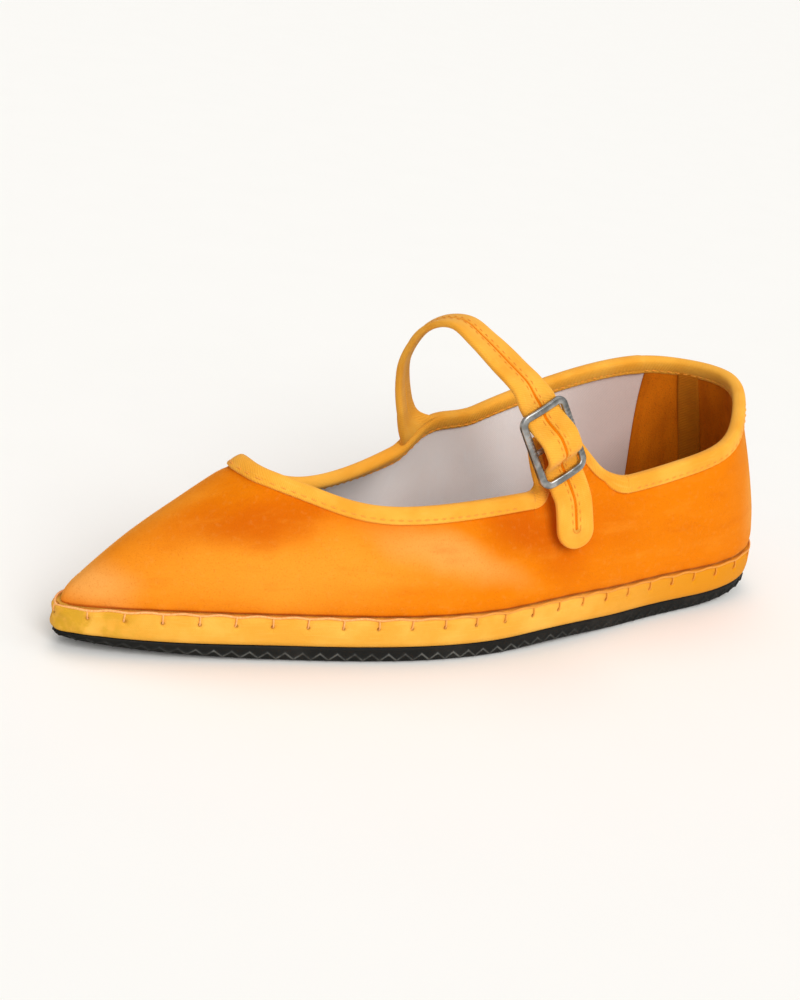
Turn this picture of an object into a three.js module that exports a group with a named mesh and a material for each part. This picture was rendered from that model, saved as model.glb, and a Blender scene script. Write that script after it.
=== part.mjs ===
// A pointed velvet ballet flat with a buckled instep strap, left shoe, standing empty on its sole.
// Millimetres. +X points to the toe, +Y to the outer side of the foot, +Z up.
import * as THREE from "three";

// The sizes that drive the shoe.
const LENGTH = 254.6; // heel to toe along the sole
const BALL_WIDTH = 77.2; // across the sole at the joints of the toes
const HEEL_HEIGHT = 71.8; // floor to collar at the back of the heel
const INSTEP_HEIGHT = 55.3; // floor to the front of the throat
const OUTSOLE = 5.3; // rubber thickness at the ball
const MIDSOLE = 9.5; // wrapped midsole thickness
const INSOLE = 2.4; // insole board thickness
const WALL = 1.8; // velvet and lining together
const GAP = 0.3; // clear space between neighbouring pieces
const SHELF = 1.2; // how far the upper stands in from the midsole's edge
const TOE_SPRING = 0.8; // lift of the sole under the toe tip
const TOE_THINNING = 0.2; // share of the midsole's thickness that is gone at the toe tip
const HEEL_SPRING = 3; // lift of the sole under the back of the heel
const TOE_TAPER = 0.65; // share of the rubber's thickness that is gone under the toe tip
const HEEL_TAPER = 0.62; // share of the rubber's thickness that is gone under the back of the heel
const WAIST_ARCH = 0.8; // lift of the sole between heel and ball
const BINDING_WIDTH = 4.4; // tape over the collar edge, on each face
const BINDING_THICK = 1;
const SHOULDER = 4.5; // how far the inner collar stays up behind the strap
const STRAP_WIDTH = 12.8;
const STRAP_THICK = 2.2;
const STRAP_FOOT = 4.5; // radius of the fillet between the strap's rear edge and the inner collar
const BUCKLE_LENGTH = 26; // along the strap, outside
const BUCKLE_WIDTH = 18.2; // across the strap, outside
const BUCKLE_BAR = 2.4; // width of the frame's bars
const BUCKLE_THICK = 1.6;
const TAB_THICK = 2;
const TAB_TOP_WIDTH = 15; // across the tab where it meets the buckle
const SNAP_DIAMETER = 9;
const SNAP_THICK = 1.6;

const HALF_LENGTH = LENGTH / 2;
const HALF_WIDTH = BALL_WIDTH / 2;
const FEATHER = OUTSOLE + MIDSOLE + GAP; // height of the upper's lower edge over the sole's underside
const INSTEP = INSTEP_HEIGHT / HEEL_HEIGHT;
const UP = new THREE.Vector3(0, 0, 1);

// One row per section, from the toe tip round the outer side to the heel and back along the inner side.
// along and out place the sole's edge, in half lengths and half ball widths; edge_along, edge_out and edge_up
// place the collar's edge, the last in heel heights. rise and lean draw the wall where it leaves the sole
// (millimetres, and degrees outward from upright); run and flare draw it where it reaches the collar
// (millimetres, and degrees outward from hanging straight down).
const COLUMNS = ["along", "out", "edge_along", "edge_out", "edge_up", "rise", "lean", "run", "flare"];
const SECTIONS = [
  ["toe tip", 1.0, -0.2, 0.58, -0.08, INSTEP, 8, -14, 19, 55],
  ["outer toe corner", 0.912, 0.075, 0.574, 0.085, 0.997 * INSTEP, 9, -5, 19, 54],
  ["outer toe", 0.72, 0.365, 0.545, 0.235, 0.98 * INSTEP, 11, 4, 17, 53],
  ["outer vamp", 0.51, 0.611, 0.46, 0.43, 0.922 * INSTEP, 14, 6, 14, 46],
  ["outer joint", 0.285, 0.862, 0.32, 0.61, 0.652, 14, 6, 12, 36],
  ["outer ball", 0.055, 1.0, 0.09, 0.675, 0.643, 13, 5, 12, 28],
  ["outer waist", -0.2, 0.985, -0.17, 0.685, 0.664, 13, 5, 12, 22],
  ["outer shank", -0.4, 0.91, -0.375, 0.704, 0.685, 13, 5, 13, 18],
  ["outer quarter", -0.6, 0.835, -0.57, 0.72, 0.741, 14, 6, 15, 14],
  ["outer heel", -0.78, 0.787, -0.732, 0.68, 0.816, 15, 6, 17, 13],
  ["outer heel corner", -0.944, 0.571, -0.833, 0.435, 0.926, 15, 3, 18, 15],
  ["heel back", -1.0, 0.0, -0.9, 0.019, 1.0, 16, 7, 20, 18],
  ["inner heel corner", -0.937, -0.552, -0.857, -0.49, 0.988, 15, 8, 18, 16],
  ["inner heel", -0.78, -0.787, -0.727, -0.684, 0.975, 15, 8, 17, 12],
  ["inner quarter", -0.5, -0.715, -0.461, -0.671, 0.91, 14, 12, 16, 8],
  ["inner waist", -0.2, -0.648, -0.17, -0.66, 0.762, 14, 15, 14, 8],
  ["inner ball", 0.08, -0.855, 0.05, -0.6, 0.626, 13, 8, 12, 24],
  ["inner joint", 0.33, -1.0, 0.215, -0.45, 0.581, 12, 4, 13, 46],
  ["inner vamp", 0.63, -0.822, 0.39, -0.29, 0.598, 10, -2, 12, 51],
  ["inner toe", 0.8, -0.62, 0.495, -0.22, 0.67, 9, -8, 13, 52],
  ["inner toe corner", 0.92, -0.45, 0.555, -0.16, 0.742, 8, -14, 16, 54],
];
const STEP = 6.5; // longest step round the ring, half as long where the collar drops under the strap

// A smooth closed curve through the values at the given knots, which run from 0 to 1 round the ring.
function ringSpline(knots, values) {
  const n = values.length;
  const gap = (i) => (i === n - 1 ? 1 : knots[i + 1]) - knots[i];
  const bend = new Array(n).fill(0);
  for (let sweep = 0; sweep < 60; sweep++)
    for (let i = 0; i < n; i++) {
      const before = (i + n - 1) % n;
      const after = (i + 1) % n;
      const slopeIn = (values[i] - values[before]) / gap(before);
      const slopeOut = (values[after] - values[i]) / gap(i);
      const pull = gap(before) * bend[before] + gap(i) * bend[after];
      bend[i] = (6 * (slopeOut - slopeIn) - pull) / (2 * (gap(before) + gap(i)));
    }
  return (t) => {
    const at = ((t % 1) + 1) % 1;
    let i = n - 1;
    while (knots[i] > at) i--;
    const j = (i + 1) % n;
    const h = gap(i);
    const b = (at - knots[i]) / h;
    const a = 1 - b;
    const curve = ((a ** 3 - a) * bend[i] + (b ** 3 - b) * bend[j]) * ((h * h) / 6);
    return a * values[i] + b * values[j] + curve;
  };
}

// The knots stand at the sections, as far apart as the root of the way along the sole's edge.
const edgeOf = (row) => new THREE.Vector2(row[1] * HALF_LENGTH, row[2] * HALF_WIDTH);
const chords = SECTIONS.map((row, i) => edgeOf(row).distanceTo(edgeOf(SECTIONS[(i + 1) % SECTIONS.length])));
const rootSum = chords.reduce((sum, chord) => sum + Math.sqrt(chord), 0);
const KNOTS = chords.map(
  (_, i) => chords.slice(0, i).reduce((sum, chord) => sum + Math.sqrt(chord), 0) / rootSum,
);
const ring = Object.fromEntries(
  COLUMNS.map((name, k) => [name, ringSpline(KNOTS, SECTIONS.map((row) => row[k + 1]))]),
);
const PLACES = KNOTS.flatMap((start, i) => {
  const end = i === KNOTS.length - 1 ? 1 : KNOTS[i + 1];
  const step = SECTIONS[i][0] === "inner waist" ? STEP / 2 : STEP;
  const steps = Math.max(3, Math.ceil(chords[i] / step));
  return Array.from({ length: steps }, (_, k) => start + ((end - start) * k) / steps);
});

// Height of the sole's own line: flat under the heel and the ball, lifted at both ends and at the waist.
function ground(x) {
  const toe = Math.max(0, (x / HALF_LENGTH - 0.4) / 0.6);
  const heel = Math.max(0, (-x / HALF_LENGTH - 0.7) / 0.3);
  const waist = Math.max(0, 1 - ((x / HALF_LENGTH + 0.2) / 0.22) ** 2);
  return TOE_SPRING * toe ** 2 + HEEL_SPRING * heel ** 2 + WAIST_ARCH * waist ** 2;
}

// The strap's root lies between the inner waist and the inner ball.
// Behind it the collar stays up; under it the collar drops to the throat.
const STRAP_ROOT = THREE.MathUtils.lerp(KNOTS[15], KNOTS[16], 0.7);
function shoulder(t) {
  const rise = THREE.MathUtils.smoothstep(t, STRAP_ROOT - 0.047, STRAP_ROOT - 0.013);
  const drop = THREE.MathUtils.smoothstep(t, STRAP_ROOT - 0.01, STRAP_ROOT + 0.016);
  return SHOULDER * rise * (1 - drop);
}

// The sole's edge in plan, and the collar's edge, as points; their outward directions in plan.
const soleEdge = (t) => new THREE.Vector3(ring.along(t) * HALF_LENGTH, ring.out(t) * HALF_WIDTH, 0);
const collarEdge = (t) =>
  new THREE.Vector3(
    ring.edge_along(t) * HALF_LENGTH,
    ring.edge_out(t) * HALF_WIDTH,
    ring.edge_up(t) * HEEL_HEIGHT + shoulder(t),
  );
function outward(edge, t) {
  const way = edge(t + 0.001).sub(edge(t - 0.001));
  return new THREE.Vector3(way.y, -way.x, 0).normalize();
}

// The share of the outsole's thickness that is worn and cut away toward its ends.
function taper(x) {
  const toe = Math.max(0, (x / HALF_LENGTH - 0.4) / 0.6);
  const heel = Math.max(0, (-x / HALF_LENGTH - 0.6) / 0.4);
  return TOE_TAPER * toe ** 2 + HEEL_TAPER * heel ** 2;
}

// A point of the sole's side, set in from the edge and lifted from the underside.
// The outsole thins toward both ends, and what lies over it thins toward the toe tip.
function solePoint(t, inset, lift) {
  const p = soleEdge(t).addScaledVector(outward(soleEdge, t), -inset);
  const tip = Math.max(0, (p.x / HALF_LENGTH - 0.7) / 0.3);
  const over = Math.max(0, lift - OUTSOLE) * (1 - TOE_THINNING * tip ** 2);
  const under = Math.max(0, OUTSOLE - GAP - lift) * taper(p.x);
  return p.setZ(ground(p.x) + under + Math.min(lift, OUTSOLE) + over);
}

// The upper's outer face: t goes round the ring, v from the feather line (0) to the collar's edge (1).
function wallPoint(t, v) {
  const low = solePoint(t, SHELF, FEATHER);
  const high = collarEdge(t);
  const lean = THREE.MathUtils.degToRad(ring.lean(t));
  const flare = THREE.MathUtils.degToRad(ring.flare(t));
  const lowArm = outward(soleEdge, t).multiplyScalar(Math.sin(lean)).addScaledVector(UP, Math.cos(lean));
  const aside = outward(collarEdge, t);
  const highArm = aside.multiplyScalar(Math.sin(flare)).addScaledVector(UP, -Math.cos(flare));
  const curve = new THREE.CubicBezierCurve3(
    low,
    low.clone().addScaledVector(lowArm, ring.rise(t)),
    high.clone().addScaledVector(highArm, ring.run(t)),
    high,
  );
  return curve.getPoint(v);
}
function wallNormal(t, v) {
  const round = wallPoint(t + 0.0015, v).sub(wallPoint(t - 0.0015, v));
  const rising = wallPoint(t, Math.min(1, v + 0.01)).sub(wallPoint(t, Math.max(0, v - 0.01)));
  return round.cross(rising).normalize();
}
const shellPoint = (t, v, offset) => wallPoint(t, v).addScaledVector(wallNormal(t, v), offset);
// The lining's face; its lower edge lies level with the outer face's.
const liningPoint = (t, v) => (v === 0 ? solePoint(t, SHELF + WALL, FEATHER) : shellPoint(t, v, -WALL));
// The share of the wall's height that lies a given distance below the collar's edge.
const belowEdge = (t, distance) => 1 - distance / (3 * ring.run(t));

// Meshes from triangles, each three points.
function meshOf(name, triangles, colour, roughness, metalness = 0) {
  const geometry = new THREE.BufferGeometry().setFromPoints(triangles.flat());
  geometry.computeVertexNormals();
  const material = new THREE.MeshStandardMaterial({ color: colour, roughness, metalness });
  const mesh = new THREE.Mesh(geometry, material);
  mesh.name = name;
  return mesh;
}
function skin(lower, upper) {
  return lower.flatMap((a, i) => {
    const j = (i + 1) % lower.length;
    return [
      [a, lower[j], upper[j]],
      [a, upper[j], upper[i]],
    ];
  });
}
// Rings of points joined each to the next, and the last back to the first.
const hoop = (rings) => rings.flatMap((points, i) => skin(points, rings[(i + 1) % rings.length]));
// A lid over a ring that runs from the toe down one side and back up the other, facing up or down.
function lid(points, facingUp) {
  const heel = points.reduce((best, p, i) => (p.x < points[best].x ? i : best), 0);
  const triangles = [];
  let outer = 0;
  let inner = points.length;
  const at = (i) => points[i % points.length];
  while (inner - outer > 1) {
    const stepOuter = inner <= heel + 1 || (outer < heel && at(outer + 1).x > at(inner - 1).x);
    const next = stepOuter ? outer + 1 : inner - 1;
    triangles.push(facingUp ? [at(outer), at(next), at(inner)] : [at(outer), at(inner), at(next)]);
    if (stepOuter) outer = next;
    else inner = next;
  }
  return triangles.filter(([a, b, c]) => a !== b && b !== c && a !== c);
}
// A slab with the sole's outline, from rings of inset and lift given from the bottom up.
function slab(rings) {
  const loops = rings.map(([inset, lift]) => PLACES.map((t) => solePoint(t, inset, lift)));
  const sides = loops.slice(1).flatMap((loop, i) => skin(loops[i], loop));
  return [...lid(loops[0], false), ...sides, ...lid(loops[loops.length - 1], true)];
}

const outsole = meshOf(
  "outsole",
  slab([
    [1.9, 0],
    [0.8, 0.9],
    [0.5, 2.6],
    [0.6, OUTSOLE - GAP],
  ]),
  0x2c2b26,
  0.8,
);
const midsole = meshOf(
  "midsole",
  slab([
    [0.5, OUTSOLE],
    [0, OUTSOLE + 1.6],
    [0, OUTSOLE + MIDSOLE - 1.8],
    [0.7, OUTSOLE + MIDSOLE],
  ]),
  0xeeb23f,
  0.9,
);
const insoleInset = SHELF + WALL + 4 * GAP;
const insole = meshOf(
  "insole",
  slab([
    [insoleInset, FEATHER],
    [insoleInset + 4 * GAP, FEATHER + INSOLE],
  ]),
  0x1b1a19,
  0.95,
);

const LEVELS = [0, 0.08, 0.17, 0.27, 0.38, 0.49, 0.6, 0.71, 0.82, 0.92, 1];
const upper = meshOf(
  "upper",
  hoop([
    ...LEVELS.map((v) => PLACES.map((t) => shellPoint(t, v, 0))),
    ...LEVELS.toReversed().map((v) => PLACES.map((t) => liningPoint(t, v))),
  ]),
  0xf0860f,
  0.95,
);

// The binding tape folds over the collar's edge: up the outer face, over the edge, down the lining.
function bindingPoint(t, below, offset, over) {
  const climb = wallPoint(t, 1).sub(wallPoint(t, 0.98)).normalize();
  return shellPoint(t, belowEdge(t, below), offset).addScaledVector(climb, over);
}
const bindingRing = (below, offset, over) => PLACES.map((t) => bindingPoint(t, below, offset, over));
const bindingTop = (t) => bindingPoint(t, 0, -WALL / 2, GAP + BINDING_THICK);
const insideFace = -WALL - GAP;
const outsideFace = GAP;
const binding = meshOf(
  "collar_binding",
  hoop([
    bindingRing(BINDING_WIDTH, outsideFace, 0),
    bindingRing(BINDING_WIDTH, outsideFace + 0.6 * BINDING_THICK, 0),
    bindingRing(0.6 * BINDING_WIDTH, outsideFace + BINDING_THICK, 0),
    bindingRing(0, outsideFace + BINDING_THICK, 0),
    bindingRing(0, -WALL / 2, GAP + BINDING_THICK),
    bindingRing(0, insideFace - BINDING_THICK, 0),
    bindingRing(0.6 * BINDING_WIDTH, insideFace - BINDING_THICK, 0),
    bindingRing(BINDING_WIDTH, insideFace - 0.6 * BINDING_THICK, 0),
    bindingRing(BINDING_WIDTH, insideFace, 0),
    bindingRing(0, insideFace, GAP),
    bindingRing(0, outsideFace, GAP),
  ]),
  0xf6ae34,
  0.9,
);

// The strap leaves the inner collar, arches over the instep and comes down the outer side through the buckle.
// turn is the direction of its width in plan, in degrees from the toe's direction toward the outer side.
const BUCKLE_AT = new THREE.Vector3(-14.3, 30.4, 66.1);
const BUCKLE_DOWN = new THREE.Vector3(-0.45, 0.164, -0.875).normalize();
const BAR_SPACING = (BUCKLE_LENGTH - BUCKLE_BAR) / 2; // centre bar to end bar
// How far the strap's middle lies below the end bars' and above the centre bar's.
const WEAVE_UNDER = (STRAP_THICK + BUCKLE_THICK) / 2 + 2 * GAP;
const WEAVE_OVER = 4.6;
const rootEdge = bindingTop(STRAP_ROOT);
const along = (distance) => BUCKLE_AT.clone().addScaledVector(BUCKLE_DOWN, distance);
const STRAP_PATH = [
  { place: "root", at: rootEdge.clone().add(new THREE.Vector3(0.6, 0, 0.65)), turn: 18 },
  { place: "foot of the arch", at: rootEdge.clone().add(new THREE.Vector3(4, -0.6, 5.3)), turn: 38 },
  { place: "inner side", at: new THREE.Vector3(6.8, -23.4, 73.3), turn: 46 },
  { place: "inner shoulder", at: new THREE.Vector3(7.6, -16, 86.3), turn: 42 },
  { place: "before the top", at: new THREE.Vector3(6.8, -7, 93.3), turn: 32 },
  { place: "top", at: new THREE.Vector3(5, 1.5, 95.5), turn: 22 },
  { place: "outer shoulder", at: new THREE.Vector3(2.6, 9.5, 92.6), turn: 13 },
  { place: "outer side", at: new THREE.Vector3(-1.4, 17.6, 87.5), turn: 4 },
  { place: "into the buckle", at: along(-1.5 * BAR_SPACING).add(new THREE.Vector3(0.6, -1.4, 0)), turn: -2 },
  { place: "top bar", at: along(-BAR_SPACING), turn: -3 },
  { place: "centre bar", at: along(0), turn: -3 },
  { place: "bottom bar", at: along(BAR_SPACING), turn: -3 },
  { place: "out of the buckle", at: along(1.6 * BAR_SPACING), turn: -6 },
  { place: "tip", at: new THREE.Vector3(-24.4, 38, 33.1), turn: -10 },
];
const strapCurve = new THREE.CatmullRomCurve3(STRAP_PATH.map((row) => row.at), false, "centripetal");
strapCurve.arcLengthDivisions = 600;
const strapLength = strapCurve.getLength();
const CENTRE_BAR = STRAP_PATH.findIndex((row) => row.place === "centre bar");
const centreBarAt = arcAt(CENTRE_BAR / (STRAP_PATH.length - 1));

// The way along the strap at a share of its rows.
function arcAt(share) {
  const lengths = strapCurve.getLengths(600);
  return lengths[Math.round(share * 600)];
}
// The strap passes under the end bars and over the centre bar, and settles back beyond them.
function weave(distance) {
  const d = Math.abs(distance) / BAR_SPACING;
  const over = (1 + Math.sin((Math.PI / 2) * Math.cos(Math.PI * Math.min(1, d)))) / 2;
  if (d <= 1) return THREE.MathUtils.lerp(-WEAVE_UNDER, WEAVE_OVER, over);
  return (-WEAVE_UNDER * (1 + Math.cos(Math.PI * Math.min(1, (d - 1) / 0.9)))) / 2;
}
function strapFrame(way) {
  const share = strapCurve.getUtoTmapping(0, way);
  const row = share * (STRAP_PATH.length - 1);
  const i = Math.min(STRAP_PATH.length - 2, Math.floor(row));
  const turn = THREE.MathUtils.lerp(STRAP_PATH[i].turn, STRAP_PATH[i + 1].turn, row - i);
  const forward = strapCurve.getTangent(share);
  const heading = THREE.MathUtils.degToRad(turn);
  const across = new THREE.Vector3(Math.cos(heading), Math.sin(heading), 0);
  across.addScaledVector(forward, -across.dot(forward)).normalize();
  const face = across.clone().cross(forward);
  const at = strapCurve.getPoint(share).addScaledVector(face, weave(way - centreBarAt));
  return { at, forward, across, face };
}
// At its root the strap widens backward in a fillet and its end follows the inner collar.
function footReach(way) {
  const left = Math.max(0, 1 - way / STRAP_FOOT);
  return STRAP_FOOT * (1 - Math.sqrt(1 - left ** 2));
}
const rootAcross = strapFrame(0).across;
const collarAlong = bindingTop(STRAP_ROOT + 0.01).distanceTo(bindingTop(STRAP_ROOT - 0.01)) / 0.02;
function footShift(reach, way) {
  const collar = bindingTop(STRAP_ROOT + reach / collarAlong).sub(rootEdge);
  return collar.addScaledVector(rootAcross, -reach).multiplyScalar(Math.max(0, 1 - way / (2 * STRAP_FOOT)));
}
const FOOT_WAYS = [0, 0.05, 0.15, 0.3, 0.5, 0.75, 1].map((share) => share * STRAP_FOOT);
const STRAP_STATIONS = 76;
const strapStep = (strapLength - STRAP_FOOT) / STRAP_STATIONS;
const STRAP_WAYS = [
  ...FOOT_WAYS,
  ...Array.from({ length: STRAP_STATIONS }, (_, i) => STRAP_FOOT + strapStep * (i + 1)),
];
const strapSections = STRAP_WAYS.map((way) => {
  const left = Math.max(strapLength - way, 0.12);
  const round = left < STRAP_WIDTH / 2 ? Math.sqrt(1 - (1 - (2 * left) / STRAP_WIDTH) ** 2) : 1;
  const { at, across, face } = strapFrame(way);
  const front = (STRAP_WIDTH / 2) * round;
  const rear = -front - footReach(way);
  const thick = STRAP_THICK / 2;
  const reaches = [0, 0.07, 0.35, 0.65, 0.93, 1].map((share) => THREE.MathUtils.lerp(front, rear, share));
  const lifts = [0.5, 1, 1, 1, 1, 0.5];
  const sectionPoint = (reach, lift) =>
    at.clone().addScaledVector(across, reach).addScaledVector(face, lift).add(footShift(reach, way));
  return [
    ...reaches.map((reach, i) => sectionPoint(reach, -lifts[i] * thick)),
    ...reaches.toReversed().map((reach, i) => sectionPoint(reach, lifts[i] * thick)),
  ];
});
// A swept piece: the sections joined each to the next, and a strip across the first and the last.
function strip(points) {
  const last = points.length - 1;
  return points.slice(1, points.length / 2).flatMap((p, i) => [
    [points[i], p, points[last - i]],
    [p, points[last - i - 1], points[last - i]],
  ]);
}
const swept = (sections) => [
  ...strip(sections[0].toReversed()),
  ...sections.slice(1).flatMap((section, i) => skin(sections[i], section)),
  ...strip(sections[sections.length - 1]),
];
const strap = meshOf("strap", swept(strapSections), 0xf6ae34, 0.9);

// The slide buckle: a flat frame with a centre bar.
function frameOutline(width, length, radius) {
  const x = width / 2;
  const y = length / 2;
  return new THREE.Shape()
    .moveTo(x - radius, -y)
    .absarc(x - radius, -y + radius, radius, -Math.PI / 2, 0)
    .absarc(x - radius, y - radius, radius, 0, Math.PI / 2)
    .absarc(-x + radius, y - radius, radius, Math.PI / 2, Math.PI)
    .absarc(-x + radius, -y + radius, radius, Math.PI, (3 * Math.PI) / 2);
}
const frameShape = frameOutline(BUCKLE_WIDTH, BUCKLE_LENGTH, 3);
const windowLength = BAR_SPACING - BUCKLE_BAR;
const windowAt = (shift) => {
  const points = frameOutline(BUCKLE_WIDTH - 2 * BUCKLE_BAR, windowLength, 1).getPoints(3);
  return new THREE.Path(points.map((p) => new THREE.Vector2(p.x, p.y + shift)));
};
frameShape.holes.push(windowAt(BAR_SPACING / 2), windowAt(-BAR_SPACING / 2));
const buckleGeometry = new THREE.ExtrudeGeometry(frameShape, {
  depth: BUCKLE_THICK,
  bevelEnabled: false,
  curveSegments: 4,
}).translate(0, 0, -BUCKLE_THICK / 2);
const seat = strapFrame(centreBarAt);
const buckle = new THREE.Mesh(
  buckleGeometry,
  new THREE.MeshStandardMaterial({ color: 0xa8a8a6, roughness: 0.3, metalness: 1 }),
);
buckle.name = "buckle";
buckle.applyMatrix4(
  new THREE.Matrix4()
    .makeBasis(seat.across, seat.forward.clone().negate(), seat.face.clone())
    .setPosition(BUCKLE_AT),
);

// The tab that holds the buckle: it stands on the outer collar and narrows up to the centre bar.
const TAB_FRONT = THREE.MathUtils.lerp(KNOTS[5], KNOTS[6], 0.8); // between outer ball and outer waist
const TAB_BACK = THREE.MathUtils.lerp(KNOTS[6], KNOTS[7], 0.88); // between outer waist and outer shank
const tabTop = along(-4).addScaledVector(seat.face, -(BUCKLE_THICK + TAB_THICK) / 2 - GAP);
function tabPoint(back, climb, side) {
  const low = bindingTop(THREE.MathUtils.lerp(TAB_FRONT, TAB_BACK, back)).addScaledVector(UP, GAP);
  const high = tabTop.clone().addScaledVector(seat.across, TAB_TOP_WIDTH * (0.5 - back));
  const bend = low.clone().lerp(high, 0.45);
  bend.x = THREE.MathUtils.lerp(low.x, high.x, 0.75);
  const edge = new THREE.QuadraticBezierCurve3(low, bend, high);
  return edge.getPoint(climb).addScaledVector(seat.face, (side * TAB_THICK) / 2);
}
const TAB_ACROSS = [0, 0.12, 0.25, 0.38, 0.5, 0.62, 0.75, 0.88, 1];
const TAB_CLIMB = [0, 0.2, 0.4, 0.6, 0.8, 1];
const tabSections = TAB_CLIMB.map((climb) => [
  ...TAB_ACROSS.map((back) => tabPoint(back, climb, 1)),
  ...TAB_ACROSS.toReversed().map((back) => tabPoint(back, climb, -1)),
]);
const tab = meshOf("buckle_tab", swept(tabSections), 0xf0860f, 0.95);

// The press stud on the tab's lining side.
const backward = tabPoint(0.55, 0.5, 0).sub(tabPoint(0.35, 0.5, 0));
const climbing = tabPoint(0.45, 0.6, 0).sub(tabPoint(0.45, 0.4, 0));
const tabFace = backward.cross(climbing).normalize();
const snap = new THREE.Mesh(
  new THREE.CylinderGeometry(0.4 * SNAP_DIAMETER, 0.5 * SNAP_DIAMETER, SNAP_THICK, 24),
  new THREE.MeshStandardMaterial({ color: 0xb4b4b2, roughness: 0.3, metalness: 1 }),
);
snap.name = "snap";
snap.quaternion.setFromUnitVectors(new THREE.Vector3(0, 1, 0), tabFace.clone().negate());
snap.position.copy(tabPoint(0.45, 0.5, 0)).addScaledVector(tabFace, -(TAB_THICK + SNAP_THICK) / 2 - 2 * GAP);

const shoe = new THREE.Group();
shoe.add(outsole, midsole, insole, upper, binding, strap, buckle, tab, snap);

// The frame's origin lies under the middle of the shoe's box, on the floor.
const box = new THREE.Box3().setFromObject(shoe);
const middle = box.getCenter(new THREE.Vector3());
shoe.position.set(-middle.x, -middle.y, -box.min.z);

export default shoe;
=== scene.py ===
# A pointed velvet ballet flat with a buckled instep strap: the left shoe, standing empty on its sole.
# Sizes in this file are millimetres; +X points to the toe, +Y to the outer side of the foot, +Z up.
import math

import bpy
import numpy as np
from mathutils import Matrix, Vector


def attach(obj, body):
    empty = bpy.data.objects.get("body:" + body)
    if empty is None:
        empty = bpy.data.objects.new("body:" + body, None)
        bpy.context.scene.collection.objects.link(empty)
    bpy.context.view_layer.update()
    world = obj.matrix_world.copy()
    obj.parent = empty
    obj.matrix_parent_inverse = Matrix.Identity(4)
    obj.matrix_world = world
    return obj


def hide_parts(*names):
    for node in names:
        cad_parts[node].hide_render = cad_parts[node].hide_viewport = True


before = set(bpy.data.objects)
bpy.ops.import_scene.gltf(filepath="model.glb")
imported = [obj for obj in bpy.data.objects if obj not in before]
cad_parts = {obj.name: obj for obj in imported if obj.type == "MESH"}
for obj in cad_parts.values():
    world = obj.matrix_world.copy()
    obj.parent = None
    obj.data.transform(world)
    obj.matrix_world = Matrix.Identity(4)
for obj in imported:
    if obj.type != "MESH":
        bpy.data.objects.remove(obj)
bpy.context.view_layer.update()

# Outsole: a thin slab of black moulded rubber, cut to the outline of the last and cemented under the midsole.
# Its underside is moulded in rows of zigzag tread, and one zigzag rib of it runs round the side.
HALF_LENGTH = 127.3
HALF_BALL_WIDTH = 38.6
OUTSOLE_THICK = 5.3
GAP = 0.3
TOE_SPRING = 0.8
HEEL_SPRING = 3.0
WAIST_ARCH = 0.8
TOE_TAPER = 0.65
HEEL_TAPER = 0.62
MIDSOLE_TOE_THINNING = 0.2
TREAD_PITCH = 5.5
TREAD_DEPTH = 1.1
ZIGZAG_REACH = 2.4
ZIGZAG_WIDTH = 7.0
RIB_PITCH = 5.3
RIB_HEIGHT = 0.5
RIB_WIDTH = 0.34
RIB_LIFT = 2.0
RIB_SWING = 1.0
# The sole's edge: place, share of the half length, share of half the ball's width, from the toe round the
# outer side.
SOLE_OUTLINE = [
    ("toe tip", 1.0, -0.2),
    ("outer toe corner", 0.912, 0.075),
    ("outer toe", 0.72, 0.365),
    ("outer vamp", 0.51, 0.611),
    ("outer joint", 0.285, 0.862),
    ("outer ball", 0.055, 1.0),
    ("outer waist", -0.2, 0.985),
    ("outer shank", -0.4, 0.91),
    ("outer quarter", -0.6, 0.835),
    ("outer heel", -0.78, 0.787),
    ("outer heel corner", -0.944, 0.571),
    ("heel back", -1.0, 0.0),
    ("inner heel corner", -0.937, -0.552),
    ("inner heel", -0.78, -0.787),
    ("inner quarter", -0.5, -0.715),
    ("inner waist", -0.2, -0.648),
    ("inner ball", 0.08, -0.855),
    ("inner joint", 0.33, -1.0),
    ("inner vamp", 0.63, -0.822),
    ("inner toe", 0.8, -0.62),
    ("inner toe corner", 0.92, -0.45),
]


def ring_curve(knots, values):
    """A smooth closed curve through the values at the knots, which run from 0 to 1 round the shoe."""
    count = len(values)
    steps = np.diff(np.append(knots, 1.0))
    bend = np.zeros(count)
    for _ in range(60):
        for i in range(count):
            before, after = (i - 1) % count, (i + 1) % count
            slope_in = (values[i] - values[before]) / steps[before]
            slope_out = (values[after] - values[i]) / steps[i]
            pull = steps[before] * bend[before] + steps[i] * bend[after]
            bend[i] = (6 * (slope_out - slope_in) - pull) / (2 * (steps[before] + steps[i]))

    def value_at(t):
        share = np.asarray(t, float) % 1.0
        i = np.searchsorted(knots, share, side="right") - 1
        j = (i + 1) % count
        b = (share - knots[i]) / steps[i]
        a = 1 - b
        curve = ((a**3 - a) * bend[i] + (b**3 - b) * bend[j]) * steps[i] ** 2 / 6
        return a * values[i] + b * values[j] + curve

    return value_at


outline = np.array([(along * HALF_LENGTH, out * HALF_BALL_WIDTH) for _, along, out in SOLE_OUTLINE])
root_chords = np.sqrt(np.linalg.norm(np.roll(outline, -1, 0) - outline, axis=1))
KNOTS = np.concatenate([[0.0], np.cumsum(root_chords)[:-1]]) / root_chords.sum()
PLACE = {row[0]: knot for row, knot in zip(SOLE_OUTLINE, KNOTS)}
sole_x = ring_curve(KNOTS, outline[:, 0])
sole_y = ring_curve(KNOTS, outline[:, 1])


def sole_edge(t):
    return np.stack([sole_x(t), sole_y(t), np.zeros(np.shape(t))], -1)


def unit(vectors):
    return vectors / np.linalg.norm(vectors, axis=-1, keepdims=True)


def outward(edge, t):
    """The direction away from the shoe in plan, square to an edge."""
    way = edge(t + 0.001) - edge(t - 0.001)
    return unit(np.stack([way[..., 1], -way[..., 0], np.zeros(np.shape(t))], -1))


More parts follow.
